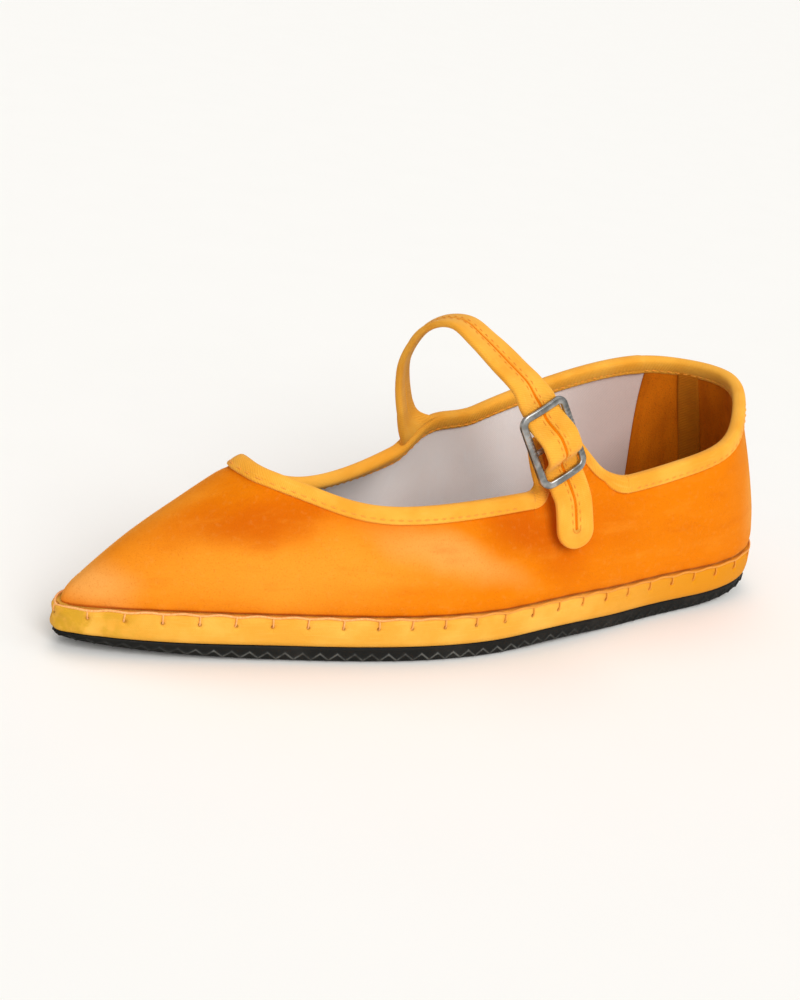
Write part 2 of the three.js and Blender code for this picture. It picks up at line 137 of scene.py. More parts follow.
def past(x, share):
    """How far a point is beyond a share of the half length: 0 up to there and 1 at the tip."""
    return np.maximum(0, (x / HALF_LENGTH - share) / (1 - share))


def ground(x):
    """Height of the sole's own line, lifted at the toe, the heel and the waist."""
    waist = np.maximum(0, 1 - ((x / HALF_LENGTH + 0.2) / 0.22) ** 2)
    return TOE_SPRING * past(x, 0.4) ** 2 + HEEL_SPRING * past(-x, 0.7) ** 2 + WAIST_ARCH * waist**2


def taper(x):
    """The share of the rubber's thickness that is cut away toward its ends."""
    return TOE_TAPER * past(x, 0.4) ** 2 + HEEL_TAPER * past(-x, 0.6) ** 2


def sole_point(t, inset, lift):
    """A point of the sole's side, set in from the edge and lifted from the underside."""
    t = np.asarray(t, float)
    point = sole_edge(t) - np.broadcast_to(inset, t.shape)[..., None] * outward(sole_edge, t)
    x = point[..., 0]
    over = np.maximum(0, lift - OUTSOLE_THICK) * (1 - MIDSOLE_TOE_THINNING * past(x, 0.7) ** 2)
    under = np.maximum(0, OUTSOLE_THICK - GAP - lift) * taper(x)
    point[..., 2] = ground(x) + under + np.minimum(lift, OUTSOLE_THICK) + over
    return point


def edge_stations(count):
    """Places round the sole's edge, toe to heel and back; each has one across from it on the other side."""
    around = np.linspace(0, 1, 6001)[:-1]
    x = sole_x(around)
    toe_at = (around[np.argmax(x)] + 0.5) % 1.0 - 0.5
    heel_at = around[np.argmin(x)]
    wanted = (1 - np.cos(np.pi * np.arange(count + 1) / count)) / 2
    sides = []
    for start in (toe_at, toe_at + 1):
        way = np.linspace(start, heel_at, 4000)
        drop = np.maximum.accumulate(sole_x(start) - sole_x(way))
        sides.append(np.interp(wanted * drop[-1], drop, way))
    outer, inner = sides
    return np.concatenate([outer, inner[-2:0:-1]])


def edge_arc(points):
    """The way along a closed line of points, and its whole length."""
    steps = np.linalg.norm(np.roll(points, -1, 0) - points, axis=1)
    return np.concatenate([[0.0], np.cumsum(steps)[:-1]]), steps.sum()


def hoop_faces(rings, around, closed_rings=False, closed_around=True):
    """Four-sided faces between each ring of points and the next."""
    faces = []
    for r in range(rings if closed_rings else rings - 1):
        low = r * around
        high = (r + 1) % rings * around
        for i in range(around if closed_around else around - 1):
            j = (i + 1) % around
            faces.append((low + i, low + j, high + j, high + i))
    return faces


def sole_slab(count, columns, sides, dent=None, under=None, over=None):
    """A slab with the sole's outline: points, faces, each point's place on it, and the length of its edge."""
    stations = edge_stations(count)
    around = len(stations)
    arc, whole = edge_arc(sole_edge(stations))
    points, places = [], []
    for inset, lift in sides:
        extra = dent(arc, lift) if dent else 0.0
        points.append(sole_point(stations, inset + extra, lift))
        places.append(np.stack([arc, np.full(around, lift)], -1))
    top = len(points) - 1
    faces = hoop_faces(len(points), around)
    for loop, level, facing_up in ((0, under, False), (top, over, True)):
        near, far = points[loop][1:count, None], points[loop][:count:-1][:, None]
        share = np.arange(1, columns)[None, :, None] / columns
        rows = near * (1 - share) + far * share
        if level:
            from_edge = np.minimum(share, 1 - share)[..., 0] * np.linalg.norm(far - near, axis=-1)
            rows[..., 2] = level(rows, from_edge)
        base = sum(len(p) for p in points)
        points.append(rows.reshape(-1, 3))
        places.append(rows.reshape(-1, 3)[:, :2])
        start = loop * around
        index = np.empty((count + 1, columns + 1), int)
        index[0], index[count] = start, start + count
        index[1:count, 0] = start + np.arange(1, count)
        index[1:count, columns] = start + around - np.arange(1, count)
        index[1:count, 1:columns] = base + np.arange((count - 1) * (columns - 1)).reshape(count - 1, -1)
        for k in range(count):
            for c in range(columns):
                quad = [index[k, c], index[k + 1, c], index[k + 1, c + 1], index[k, c + 1]]
                corners = [int(v) for n, v in enumerate(quad) if v not in quad[:n]]
                faces.append(tuple(corners if facing_up else corners[::-1]))
    return np.concatenate(points), faces, np.concatenate(places), whole


def make_piece(name, points, faces, cloth=None, turn_length=None):
    """A smooth mesh; cloth gives each point's place on the cloth, which starts again after turn_length."""
    mesh = bpy.data.meshes.new(name)
    mesh.from_pydata((np.asarray(points) * 0.001).tolist(), [], faces)
    mesh.polygons.foreach_set("use_smooth", [True] * len(mesh.polygons))
    if cloth is not None:
        corner_point = np.empty(len(mesh.loops), int)
        mesh.loops.foreach_get("vertex_index", corner_point)
        first = np.empty(len(mesh.polygons), int)
        mesh.polygons.foreach_get("loop_start", first)
        size = np.diff(np.append(first, len(corner_point)))
        place = np.asarray(cloth, float)[corner_point]
        if turn_length:
            furthest = np.repeat(np.maximum.reduceat(place[:, 0], first), size)
            place[:, 0] += np.where(place[:, 0] < furthest - turn_length / 2, turn_length, 0)
        layer = mesh.uv_layers.new(name="cloth")
        layer.uv.foreach_set("vector", place.astype(np.float32).ravel())
    mesh.validate()
    piece = bpy.data.objects.new(name, mesh)
    bpy.context.scene.collection.objects.link(piece)
    return piece


def new_finish(name, settings):
    """A material; settings are the shader's own values, which are the same all over the surface."""
    finish = bpy.data.materials.new(name)
    finish.use_nodes = True
    for socket, value in settings.items():
        finish.node_tree.nodes["Principled BSDF"].inputs[socket].default_value = value
    return finish


def add_node(tree, kind, inputs, **options):
    node = tree.nodes.new("ShaderNode" + kind)
    for option, value in options.items():
        setattr(node, option, value)
    for socket, value in inputs.items():
        if isinstance(value, bpy.types.NodeSocket):
            tree.links.new(value, node.inputs[socket])
        else:
            node.inputs[socket].default_value = value
    return node


def in_space(finish):
    """The place in the shoe's own space, in metres."""
    return add_node(finish.node_tree, "TexCoord", {}).outputs["Object"]


def on_cloth(finish):
    """The place on the cloth, in millimetres along and across it."""
    return add_node(finish.node_tree, "UVMap", {}, uv_map="cloth").outputs[0]


# From here on a finish grows from its sockets: id_data is the material's node tree that a socket is in.
def split(place):
    return add_node(place.id_data, "SeparateXYZ", {0: place}).outputs


def stretch(place, scale):
    return add_node(place.id_data, "Mapping", {"Vector": place, "Scale": scale}).outputs[0]


def mottle(place, scale, detail=2.0, roughness=0.5):
    inputs = {"Vector": place, "Scale": scale, "Detail": detail, "Roughness": roughness}
    return add_node(place.id_data, "TexNoise", inputs).outputs[0]


def reckon(operation, first, second=0.0):
    return add_node(first.id_data, "Math", {0: first, 1: second}, operation=operation).outputs[0]


def spread(value, low, high, to_low=0.0, to_high=1.0, ease="SMOOTHSTEP"):
    inputs = {0: value, 1: low, 2: high, 3: to_low, 4: to_high}
    return add_node(value.id_data, "MapRange", inputs, interpolation_type=ease).outputs[0]


def blend(share, first, second):
    return add_node(share.id_data, "Mix", {0: share, 6: first, 7: second}, data_type="RGBA").outputs[2]


def raised(height, depth, strength=1.0, over=None):
    """A bump of the given depth in millimetres."""
    inputs = {"Strength": strength, "Distance": depth * 0.001, "Height": height}
    if over is not None:
        inputs["Normal"] = over
    return add_node(height.id_data, "Bump", inputs).outputs[0]


def dress(finish, colour, roughness, normal):
    """Joins the colour, roughness and relief nodes to the shader."""
    inputs = finish.node_tree.nodes["Principled BSDF"].inputs
    for socket, value in (("Base Color", colour), ("Roughness", roughness), ("Normal", normal)):
        finish.node_tree.links.new(value, inputs[socket])


def fit(piece, finish, slot, *nodes):
    """Puts a finish on a piece and ties the piece to the shoe."""
    piece.data.materials.append(finish)
    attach(piece, "root")
    if nodes:
        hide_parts(*nodes)


def zigzag_tread(spots, from_edge):
    zigzag = ZIGZAG_REACH * np.abs(2 * ((spots[..., 1] / ZIGZAG_WIDTH) % 1) - 1)
    groove = np.cos(2 * np.pi * (spots[..., 0] + zigzag) / TREAD_PITCH)
    return spots[..., 2] + TREAD_DEPTH * np.clip(0.35 + 1.1 * groove, 0, 1) * np.clip(from_edge - 0.6, 0, 1)


def side_rib(arc, lift):
    zigzag = 2 * np.abs(2 * ((arc / RIB_PITCH) % 1) - 1) - 1
    return -RIB_HEIGHT * np.exp(-(((lift - RIB_LIFT - RIB_SWING * zigzag) / RIB_WIDTH) ** 2))


# The rubber's side is rounded in at the floor and cut back a little at its top.
outsole_sides = [
    (0.7 + 1.3 * max(0, 1 - lift / 1.1) ** 2 + 0.3 * max(0, lift - 4.3), lift)
    for lift in np.linspace(0, OUTSOLE_THICK - GAP, 22)
]
outsole = make_piece("rubber_outsole", *sole_slab(560, 50, outsole_sides, dent=side_rib, under=zigzag_tread))
rubber = new_finish("black_rubber", {"Specular IOR Level": 0.14})
place = in_space(rubber)
side_way, side_up, _ = split(on_cloth(rubber))
dust = spread(mottle(place, 90.0, 4.0), 0.45, 0.75)
grain = mottle(place, 1600.0, 3.0)
colour = blend(dust, (0.008, 0.008, 0.007, 1), (0.017, 0.016, 0.014, 1))
# The rib is painted paler than the rubber round it, a painted glint where it catches the light, most of all
# between waist and toe.
swing = reckon("PINGPONG", side_way, RIB_PITCH / 2)
rib_lift = spread(swing, 0.0, RIB_PITCH / 2, RIB_LIFT + RIB_SWING, RIB_LIFT - RIB_SWING, ease="LINEAR")
from_rib = reckon("ABSOLUTE", reckon("SUBTRACT", side_up, rib_lift))
rib_glint_mottle = spread(mottle(place, 260.0, 2.0), 0.3, 0.7, 0.25, 1.0)
painted_rib_glint = reckon("MULTIPLY", spread(from_rib, 0.1, 0.5, 1.0, 0.0), rib_glint_mottle)
length_way = split(place)[0]
before_waist = spread(length_way, -0.05, 0.01, 0.12, 1.0)
fore = reckon("MULTIPLY", before_waist, spread(length_way, 0.08, 0.105, 1.0, 0.15))
colour = blend(reckon("MULTIPLY", painted_rib_glint, fore), colour, (0.12, 0.12, 0.11, 1))
dress(rubber, colour, spread(grain, 0.3, 0.7, 0.45, 0.65), raised(grain, 0.1, 0.5))
fit(outsole, rubber, "sole_rubber", "outsole")

# Midsole: layers of recycled cloth, wrapped in a band of yellow woven cotton and pressed flat.
# The upper is sewn down to it by hand with blanket stitch, whose legs sink into the band every centimetre.
MIDSOLE_THICK = 9.5
MIDSOLE_TOP = OUTSOLE_THICK + MIDSOLE_THICK
STITCH_PITCH = 10.6
STITCH_DROP = 3.3
HOLE_UP = MIDSOLE_TOP - STITCH_DROP
# The band's side: inset from the sole's edge, height over the rubber.
BAND_SIDES = [
    (0.9, 0.0),
    (0.45, 0.25),
    (0.15, 0.8),
    (0.0, 1.6),
    (-0.1, 2.6),
    (-0.15, 3.6),
    (-0.15, 4.5),
    (-0.12, 5.2),
    (-0.1, 5.8),
    (-0.1, 6.4),
    (-0.08, 7.0),
    (-0.02, 7.7),
    (0.1, 8.4),
    (0.35, 9.0),
    (0.8, 9.4),
    (1.4, 9.5),
]
perimeter = edge_arc(sole_edge(np.linspace(0, 1, 4000, endpoint=False)))[1]
stitch_count = round(perimeter / STITCH_PITCH)
stitch_step = perimeter / stitch_count


def stitch_dent(arc, lift):
    """How far the band is drawn in: deep at a hole, shallow under a leg, rumpled at the toe tip."""
    off = (arc + stitch_step / 2) % stitch_step - stitch_step / 2
    hole = 0.75 * np.exp(-((off / 0.75) ** 2) - ((lift - HOLE_UP) / 0.7) ** 2)
    leg = 0.3 * np.exp(-((off / 1.1) ** 2)) / (1 + math.exp(-2.2 * (lift - HOLE_UP)))
    slack = 0.12 * np.sin(2 * np.pi * arc / 47.0) * np.sin(2 * np.pi * (lift - 3) / 19.0)
    from_tip = np.minimum(arc, perimeter - arc)
    rumple = 0.35 * np.sin(arc / 1.9) * np.sin(lift / 1.3 + arc / 5.0) - 0.4
    return hole + leg + slack + rumple * np.exp(-((from_tip / 16.0) ** 2))


def wave(axis, pitch):
    """A sine along an axis, one wave to each pitch."""
    return reckon("SINE", reckon("MULTIPLY", axis, 2 * math.pi / pitch))


def weave_of(axis, warp_pitch, weft_pitch):
    """Plain weave: 1 where a thread comes to the top, 0 in the gaps between threads."""
    return spread(reckon("MULTIPLY", wave(axis[0], warp_pitch), wave(axis[1], weft_pitch)), -1.0, 1.0)


band_sides = [(inset, OUTSOLE_THICK + lift) for inset, lift in BAND_SIDES]
midsole = make_piece("wrapped_midsole", *sole_slab(560, 12, band_sides, dent=stitch_dent))
band_cloth = new_finish("yellow_band_cloth", {"Specular IOR Level": 0.1, "Sheen Weight": 0.04})
cloth_at = on_cloth(band_cloth)
place = in_space(band_cloth)
axis = split(cloth_at)
length_way = split(place)[0]
weave = weave_of(axis, 0.62, 0.5)
worn = mottle(place, 70.0, 5.0, 0.6)
slub = mottle(stretch(cloth_at, (0.12, 2.2, 1.0)), 1.0, 3.0)
yellow = blend(spread(worn, 0.35, 0.7), (0.86, 0.40, 0.040, 1), (0.95, 0.495, 0.075, 1))
yellow = blend(spread(slub, 0.5, 0.8, 0.0, 0.35), yellow, (0.97, 0.58, 0.12, 1))
yellow = blend(spread(weave, 0.0, 0.6, 0.1, 0.0), yellow, (0.55, 0.22, 0.012, 1))
# Each hole has a small spot of painted shade, fainter along the heel.
off = reckon("PINGPONG", axis[0], stitch_step / 2)
drop = reckon("SUBTRACT", axis[1], HOLE_UP)
from_hole = reckon("SQRT", reckon("ADD", reckon("MULTIPLY", off, off), reckon("MULTIPLY", drop, drop)))
hole = spread(from_hole, 0.25, 0.85, spread(length_way, -0.06, 0.0, 0.3, 0.75), 0.0)
yellow = blend(hole, yellow, (0.28, 0.09, 0.015, 1))
# The toe tip is mottled a darker olive, the heel is a deeper gold, and both edges of the band carry painted
# shade.
rumple = spread(mottle(place, 210.0, 3.0), 0.35, 0.65)
olive = reckon("MULTIPLY", spread(length_way, 0.095, 0.125), reckon("MULTIPLY", rumple, 0.75))
yellow = blend(olive, yellow, (0.60, 0.32, 0.012, 1))
yellow = blend(spread(length_way, -0.10, -0.01, 0.95, 0.0), yellow, (0.74, 0.265, 0.002, 1))
lower_edge = spread(axis[1], OUTSOLE_THICK + 0.2, OUTSOLE_THICK + 2.0, 0.35, 0.0)
yellow = blend(lower_edge, yellow, (0.50, 0.23, 0.02, 1))
upper_edge = spread(axis[1], MIDSOLE_TOP - 0.3, MIDSOLE_TOP, 0.0, 0.7)
yellow = blend(upper_edge, yellow, (0.45, 0.11, 0.006, 1))
relief = raised(slub, 0.12, 0.5, raised(weave, 0.09, 0.8))
dress(band_cloth, yellow, spread(worn, 0.2, 0.8, 0.78, 0.95), relief)
fit(midsole, band_cloth, "midsole_fabric", "midsole")

# Blanket stitch: one pink waxed cotton thread that runs along the top edge of the band, in the join under the
# velvet. At each stitch a short leg of it goes down the band's face and back in through a hole.
THREAD_RADIUS = 0.34
LEG_RADIUS = 0.24
# A leg's line: inset from the band's edge, drop below its top.
LEG = [
    (0.9, STITCH_DROP + 0.15),
    (0.3, STITCH_DROP),
    (-0.15, STITCH_DROP - 0.6),
    (-0.12, 1.6),
    (0.05, 0.75),
    (0.3, 0.2),
]
around = np.linspace(0, 1, 20001)[:-1]
around_arc, _ = edge_arc(sole_edge(around))


def place_at(arc):
    """The place round the sole's edge at a way along it."""
    return np.interp(np.asarray(arc) % perimeter, around_arc, around)


def tube_faces(rings, around, closed=False):
    """Faces of a tube of rings, either closed on itself or with its two ends capped."""
    faces = hoop_faces(rings, around, closed_rings=closed)
    if not closed:
        faces.append(tuple(range(around))[::-1])
        faces.append(tuple(range((rings - 1) * around, rings * around)))
    return faces


def thread_tube(path, normals, radius, sides=7, closed=False):
    """A round thread along a path; the normals stand square to it."""
    ahead = np.roll(path, -1, 0) - np.roll(path, 1, 0)
    if not closed:
        ahead[0], ahead[-1] = path[1] - path[0], path[-1] - path[-2]
    side = unit(np.cross(ahead, normals))
    lift = unit(np.cross(side, ahead))
    turn = -np.linspace(0, 2 * np.pi, sides, endpoint=False)
    ring = np.cos(turn)[None, :, None] * side[:, None] + np.sin(turn)[None, :, None] * lift[:, None]
    return (path[:, None] + radius * ring).reshape(-1, 3), tube_faces(len(path), sides, closed)


def gather(tubes):
    """Many small meshes as one."""
    points, faces, first = [], [], 0
    for tube_points, tube_face_list in tubes:
        points.append(tube_points)
        faces.extend(tuple(v + first for v in face) for face in tube_face_list)
        first += len(tube_points)
    return np.concatenate(points), faces


run_arc = np.linspace(0, perimeter, 1400, endpoint=False)
slack_between = 0.2 * np.cos(2 * np.pi * run_arc / stitch_step) + 0.1 * np.sin(run_arc / 1.7)
run = sole_point(place_at(run_arc), 0.3 + 0.1 * np.sin(run_arc / 2.3), MIDSOLE_TOP - 0.15 - slack_between)
tubes = [thread_tube(run, np.tile([0.0, 0.0, 1.0], (len(run), 1)), THREAD_RADIUS, closed=True)]
for n in range(stitch_count):
    slant = 0.35 * math.sin(2.3 * n)
    leg_at = place_at(n * stitch_step + slant * np.linspace(1, 0, len(LEG)))
    leg = np.array([sole_point(t, inset, MIDSOLE_TOP - drop) for t, (inset, drop) in zip(leg_at, LEG)])
    forward = unit(sole_edge(leg_at + 0.001) - sole_edge(leg_at - 0.001))
    tubes.append(thread_tube(leg, forward, LEG_RADIUS))
blanket_stitch = make_piece("blanket_stitch", *gather(tubes))
waxed_thread = new_finish("pink_waxed_thread", {"Specular IOR Level": 0.3, "Sheen Weight": 0.2})
place = in_space(waxed_thread)
strand = mottle(place, 1900.0, 2.0)
colour = blend(spread(strand, 0.3, 0.7), (0.86, 0.35, 0.09, 1), (0.97, 0.49, 0.17, 1))
toward_heel = spread(split(place)[0], -0.02, 0.06, 0.92, 0.0)
colour = blend(toward_heel, colour, (0.78, 0.30, 0.012, 1))
dress(waxed_thread, colour, spread(strand, 0.3, 0.7, 0.6, 0.8), raised(strand, 0.1, 0.6))
fit(blanket_stitch, waxed_thread, "midsole_fabric")

# Insole: a board covered in black cotton, laid loose on the midsole inside the upper.
# Its edge is rounded over and its top is a little dished by the foot.
FEATHER = MIDSOLE_TOP + GAP
# The board's side: inset from the sole's edge, height over the midsole.
INSOLE_SIDES = [(4.3, 0.0), (4.15, 0.5), (4.2, 1.2), (4.5, 1.8), (5.1, 2.25), (6.0, 2.4)]


def dished(spots, from_edge):
    x, y, z = spots[..., 0], spots[..., 1], spots[..., 2]
    heel = np.exp(-(((x + 85) / 34) ** 2) - (y / 20) ** 2)
    ball = np.exp(-(((x - 30) / 40) ** 2) - ((y + 2) / 24) ** 2)
    return z - (0.7 * heel + 0.6 * ball) * np.clip(from_edge / 6, 0, 1)


insole_sides = [(inset, FEATHER + lift) for inset, lift in INSOLE_SIDES]
points, faces, _, _ = sole_slab(170, 26, insole_sides, over=dished)
insole = make_piece("covered_insole", points, faces)
insole_cotton = new_finish("black_insole_cotton", {"Specular IOR Level": 0.2, "Sheen Weight": 0.1})
place = in_space(insole_cotton)
weave = weave_of(split(place), 0.0007, 0.0007)
lint = mottle(place, 240.0, 4.0)
colour = blend(lint, (0.006, 0.006, 0.006, 1), (0.020, 0.019, 0.019, 1))
colour = blend(spread(weave, 0.4, 1.0, 0.0, 0.4), colour, (0.030, 0.029, 0.028, 1))
dress(insole_cotton, colour, spread(lint, 0.2, 0.8, 0.8, 0.97), raised(weave, 0.1, 0.7))
fit(insole, insole_cotton, "insole_fabric", "insole")

# Upper: one piece of short-pile orange velvet, closed at the back of the heel and drawn damp over the last.
# Its lower edge is turned in and sewn to the band; the pull of the stitches puckers it a little.
HEEL_HEIGHT = 71.8
INSTEP = 55.3 / HEEL_HEIGHT
SHELF = 1.2
WALL = 1.8
VELVET_THICK = 0.8
SHOULDER = 4.5
STRAP_ROOT = PLACE["inner waist"] + 0.7 * (PLACE["inner ball"] - PLACE["inner waist"])
TAB_FRONT = PLACE["outer ball"] + 0.8 * (PLACE["outer waist"] - PLACE["outer ball"])
TAB_BACK = PLACE["outer waist"] + 0.88 * (PLACE["outer shank"] - PLACE["outer waist"])
# Tones of the velvet. The shade, light and pale tones give the pile's random streaks and tufts, and are also
# laid on as painted shade, painted light and painted sheen.
VELVET_NAP_AND_PAINTED_SHADE = (0.62, 0.110, 0.0005, 1)
VELVET_DEEP = (0.76, 0.187, 0.0008, 1)
VELVET_BODY = (0.80, 0.205, 0.001, 1)
VELVET_NAP_AND_PAINTED_LIGHT = (0.90, 0.318, 0.024, 1)
VELVET_TUFT_AND_PAINTED_SHEEN = (0.88, 0.385, 0.085, 1)
# The wall over each place of the outline: where the collar's edge is (shares of the half length, half width
# and heel height), how the wall leaves the sole (rise, lean outward in degrees) and how it reaches the collar
# (run, flare in degrees).
WALL_ROWS = [
    ("toe tip", 0.58, -0.08, INSTEP, 8, -14, 19, 55),
    ("outer toe corner", 0.574, 0.085, 0.997 * INSTEP, 9, -5, 19, 54),
    ("outer toe", 0.545, 0.235, 0.98 * INSTEP, 11, 4, 17, 53),
    ("outer vamp", 0.46, 0.43, 0.922 * INSTEP, 14, 6, 14, 46),
    ("outer joint", 0.32, 0.61, 0.652, 14, 6, 12, 36),
    ("outer ball", 0.09, 0.675, 0.643, 13, 5, 12, 28),
    ("outer waist", -0.17, 0.685, 0.664, 13, 5, 12, 22),
    ("outer shank", -0.375, 0.704, 0.685, 13, 5, 13, 18),
    ("outer quarter", -0.57, 0.72, 0.741, 14, 6, 15, 14),
    ("outer heel", -0.732, 0.68, 0.816, 15, 6, 17, 13),
    ("outer heel corner", -0.833, 0.435, 0.926, 15, 3, 18, 15),
    ("heel back", -0.9, 0.019, 1.0, 16, 7, 20, 18),
    ("inner heel corner", -0.857, -0.49, 0.988, 15, 8, 18, 16),
    ("inner heel", -0.727, -0.684, 0.975, 15, 8, 17, 12),
    ("inner quarter", -0.461, -0.671, 0.91, 14, 12, 16, 8),
    ("inner waist", -0.17, -0.66, 0.762, 14, 15, 14, 8),
    ("inner ball", 0.05, -0.6, 0.626, 13, 8, 12, 24),
    ("inner joint", 0.215, -0.45, 0.581, 12, 4, 13, 46),
    ("inner vamp", 0.39, -0.29, 0.598, 10, -2, 12, 51),
    ("inner toe", 0.495, -0.22, 0.67, 9, -8, 13, 52),
    ("inner toe corner", 0.555, -0.16, 0.742, 8, -14, 16, 54),
]
# Creases and swells of the velvet: name, depth (negative for a swell), width, line as place round and height.
CREASES = [
    ("hollow below the throat", 1.1, 6.0, [(0.1, 0.78), (0.0669, 0.635), (0.04, 0.53)]),
    ("swell of the outer vamp", -1.0, 10.0, [(0.06, 0.3), (0.11, 0.4), (0.155, 0.46)]),
    ("hollow before the joint", 0.6, 6.0, [(0.165, 0.72), (0.18, 0.5), (0.2, 0.22)]),
    ("ridge at the joint", -0.9, 6.0, [(0.1944, 0.66), (0.2206, 0.421), (0.25, 0.16)]),
    ("hollow under the tab", 0.9, 7.0, [(0.262, 0.85), (0.272, 0.6), (0.285, 0.35)]),
    ("drag line from the tab", 0.5, 4.5, [(0.3, 0.7), (0.33, 0.42), (0.355, 0.22)]),
    ("heel counter's front edge", 0.35, 5.0, [(0.4, 0.85), (0.395, 0.5), (0.4, 0.15)]),
    ("back seam", 0.45, 1.1, [(0.5509, 0.93), (0.5473, 0.5), (0.5433, 0.03)]),
    ("inner bend line", 0.6, 6.0, [(0.8, 0.85), (0.79, 0.5), (0.795, 0.2)]),
    ("inner waist drag line", 0.5, 5.5, [(0.735, 0.8), (0.7, 0.5), (0.675, 0.3)]),
    ("inner toe hollow", 0.5, 8.0, [(0.955, 0.8), (0.96, 0.5)]),
    ("inner heel counter's edge", 0.35, 5.0, [(0.632, 0.8), (0.638, 0.45), (0.632, 0.15)]),
]
# Painted light, shade and sheen on the velvet, laid where light falls on it or misses it: name, centre, reach
# along its own axes, tilt and turn in degrees, share, tone.
PAINTED_LIGHT_AND_SHADE = [
    ("light side of the vamp", (66, 21, 29), (92, 27, 20), 4, -24, 1.0, VELVET_NAP_AND_PAINTED_LIGHT),
    ("light top of the vamp", (95, -4, 42), (20, 8, 14), 24, -10, 0.5, VELVET_NAP_AND_PAINTED_LIGHT),
    ("light toe", (118, -3, 20), (19, 16, 11), 0, -24, 0.8, VELVET_TUFT_AND_PAINTED_SHEEN),
    ("light ridge at the joint", (20, 33, 33), (40, 13, 8.5), -20, -12, 0.7, VELVET_TUFT_AND_PAINTED_SHEEN),
    ("shade below the ridge", (25, 36, 21), (34, 10, 5), -6, -8, 0.4, VELVET_BODY),
    ("wedge of shade below the throat", (76, 14, 43.5), (40, 14, 10), 12, -27, 0.85, VELVET_NAP_AND_PAINTED_SHADE),
    ("shade below the outer collar", (-7, 31, 39), (21, 12, 13), -14, 0, 0.95, VELVET_NAP_AND_PAINTED_SHADE),
    ("shade behind the strap's tip", (-24, 34, 33), (19, 12, 20), 0, 0, 0.6, VELVET_NAP_AND_PAINTED_SHADE),
    ("shade of the quarter", (-45, 33, 36), (20, 10, 14), 0, 0, 0.35, VELVET_NAP_AND_PAINTED_SHADE),
    ("pale back of the heel", (-119, 20, 32), (15, 16, 26), 0, 0, 0.6, VELVET_TUFT_AND_PAINTED_SHEEN),
]
wall_columns = np.array([row[1:] for row in WALL_ROWS]).T
wall_curves = [ring_curve(KNOTS, column) for column in wall_columns]
edge_along, edge_out, edge_up, rise, lean, run_down, flare = wall_curves


def eased(value, low, high):
    share = np.clip((value - low) / (high - low), 0, 1)
    return share * share * (3 - 2 * share)


def shoulder(t):
    """Behind the strap the inner collar stays up; under the strap it drops to the throat."""
    beyond = np.asarray(t, float) % 1.0 - STRAP_ROOT
    return SHOULDER * eased(beyond, -0.047, -0.013) * (1 - eased(beyond, -0.01, 0.016))


def collar_edge(t):
    height = edge_up(t) * HEEL_HEIGHT + shoulder(t)
    return np.stack([edge_along(t) * HALF_LENGTH, edge_out(t) * HALF_BALL_WIDTH, height], -1)


def wall_point(t, v):
    """The upper's outer face: t goes round the shoe, v from the feather line (0) to the collar's edge (1)."""
    t, v = np.broadcast_arrays(np.asarray(t, float), np.asarray(v, float))
    v = v[..., None]
    up = np.array([0.0, 0.0, 1.0])
    low, high = sole_point(t, SHELF, FEATHER), collar_edge(t)
    leaning, flaring = np.radians(lean(t))[..., None], np.radians(flare(t))[..., None]
    low_arm = outward(sole_edge, t) * np.sin(leaning) + up * np.cos(leaning)
    high_arm = outward(collar_edge, t) * np.sin(flaring) - up * np.cos(flaring)
    second = low + low_arm * rise(t)[..., None]
    third = high + high_arm * run_down(t)[..., None]
    return (1 - v) ** 3 * low + 3 * (1 - v) ** 2 * v * second + 3 * (1 - v) * v**2 * third + v**3 * high


def wall_normal(t, v):
    v = np.asarray(v, float)
    round_way = wall_point(t + 0.0015, v) - wall_point(t - 0.0015, v)
    up_way = wall_point(t, np.minimum(1, v + 0.01)) - wall_point(t, np.maximum(0, v - 0.01))
    return unit(np.cross(round_way, up_way))


def shell_point(t, v, offset):
    return wall_point(t, v) + wall_normal(t, v) * np.asarray(offset)[..., None]


def crease_depth(points):
    """How far the listed creases move the velvet outward at each point."""
    total = np.zeros(points.shape[:-1])
    for _, depth, width, line in CREASES:
        line = np.array(line)
        way = np.linspace(0, 1, 40)
        knots = np.linspace(0, 1, len(line))
        path = wall_point(np.interp(way, knots, line[:, 0]), np.interp(way, knots, line[:, 1]))
        near = np.full(total.shape, 1e9)
        share = np.zeros(total.shape)
        for spot, at in zip(path, way):
            distance = np.linalg.norm(points - spot, axis=-1)
            share = np.where(distance < near, at, share)
            near = np.minimum(near, distance)
        fading = 0.35 + 0.65 * np.sin(np.pi * np.clip(share, 0.02, 0.98))
        total -= depth * fading * np.exp(-((near / width) ** 2))
    return total


def way_along(line):
    """The way along a line of points, or along many lines side by side."""
    steps = np.linalg.norm(np.diff(line, axis=0), axis=-1)
    return np.concatenate([np.zeros((1, *steps.shape[1:])), np.cumsum(steps, axis=0)])


def cloth_shell(name, rings, cloth_up):
    """A closed cloth shell of rings round the shoe; cloth_up is each point's height on the flat cloth."""
    cloth = np.stack([np.tile(edge_way, len(rings)), cloth_up.ravel()], -1)
    faces = hoop_faces(len(rings), len(stations), closed_rings=True)
    return make_piece(name, rings.reshape(-1, 3), faces, cloth, perimeter)


stations = edge_stations(320)
edge_way, _ = edge_arc(sole_edge(stations))
levels = np.concatenate([np.linspace(0, 0.12, 9)[:-1], np.linspace(0.12, 1, 40)])
T, V = np.meshgrid(stations, levels)
smooth_wall = wall_point(T, V)
climb = way_along(smooth_wall)
below = climb[-1] - climb
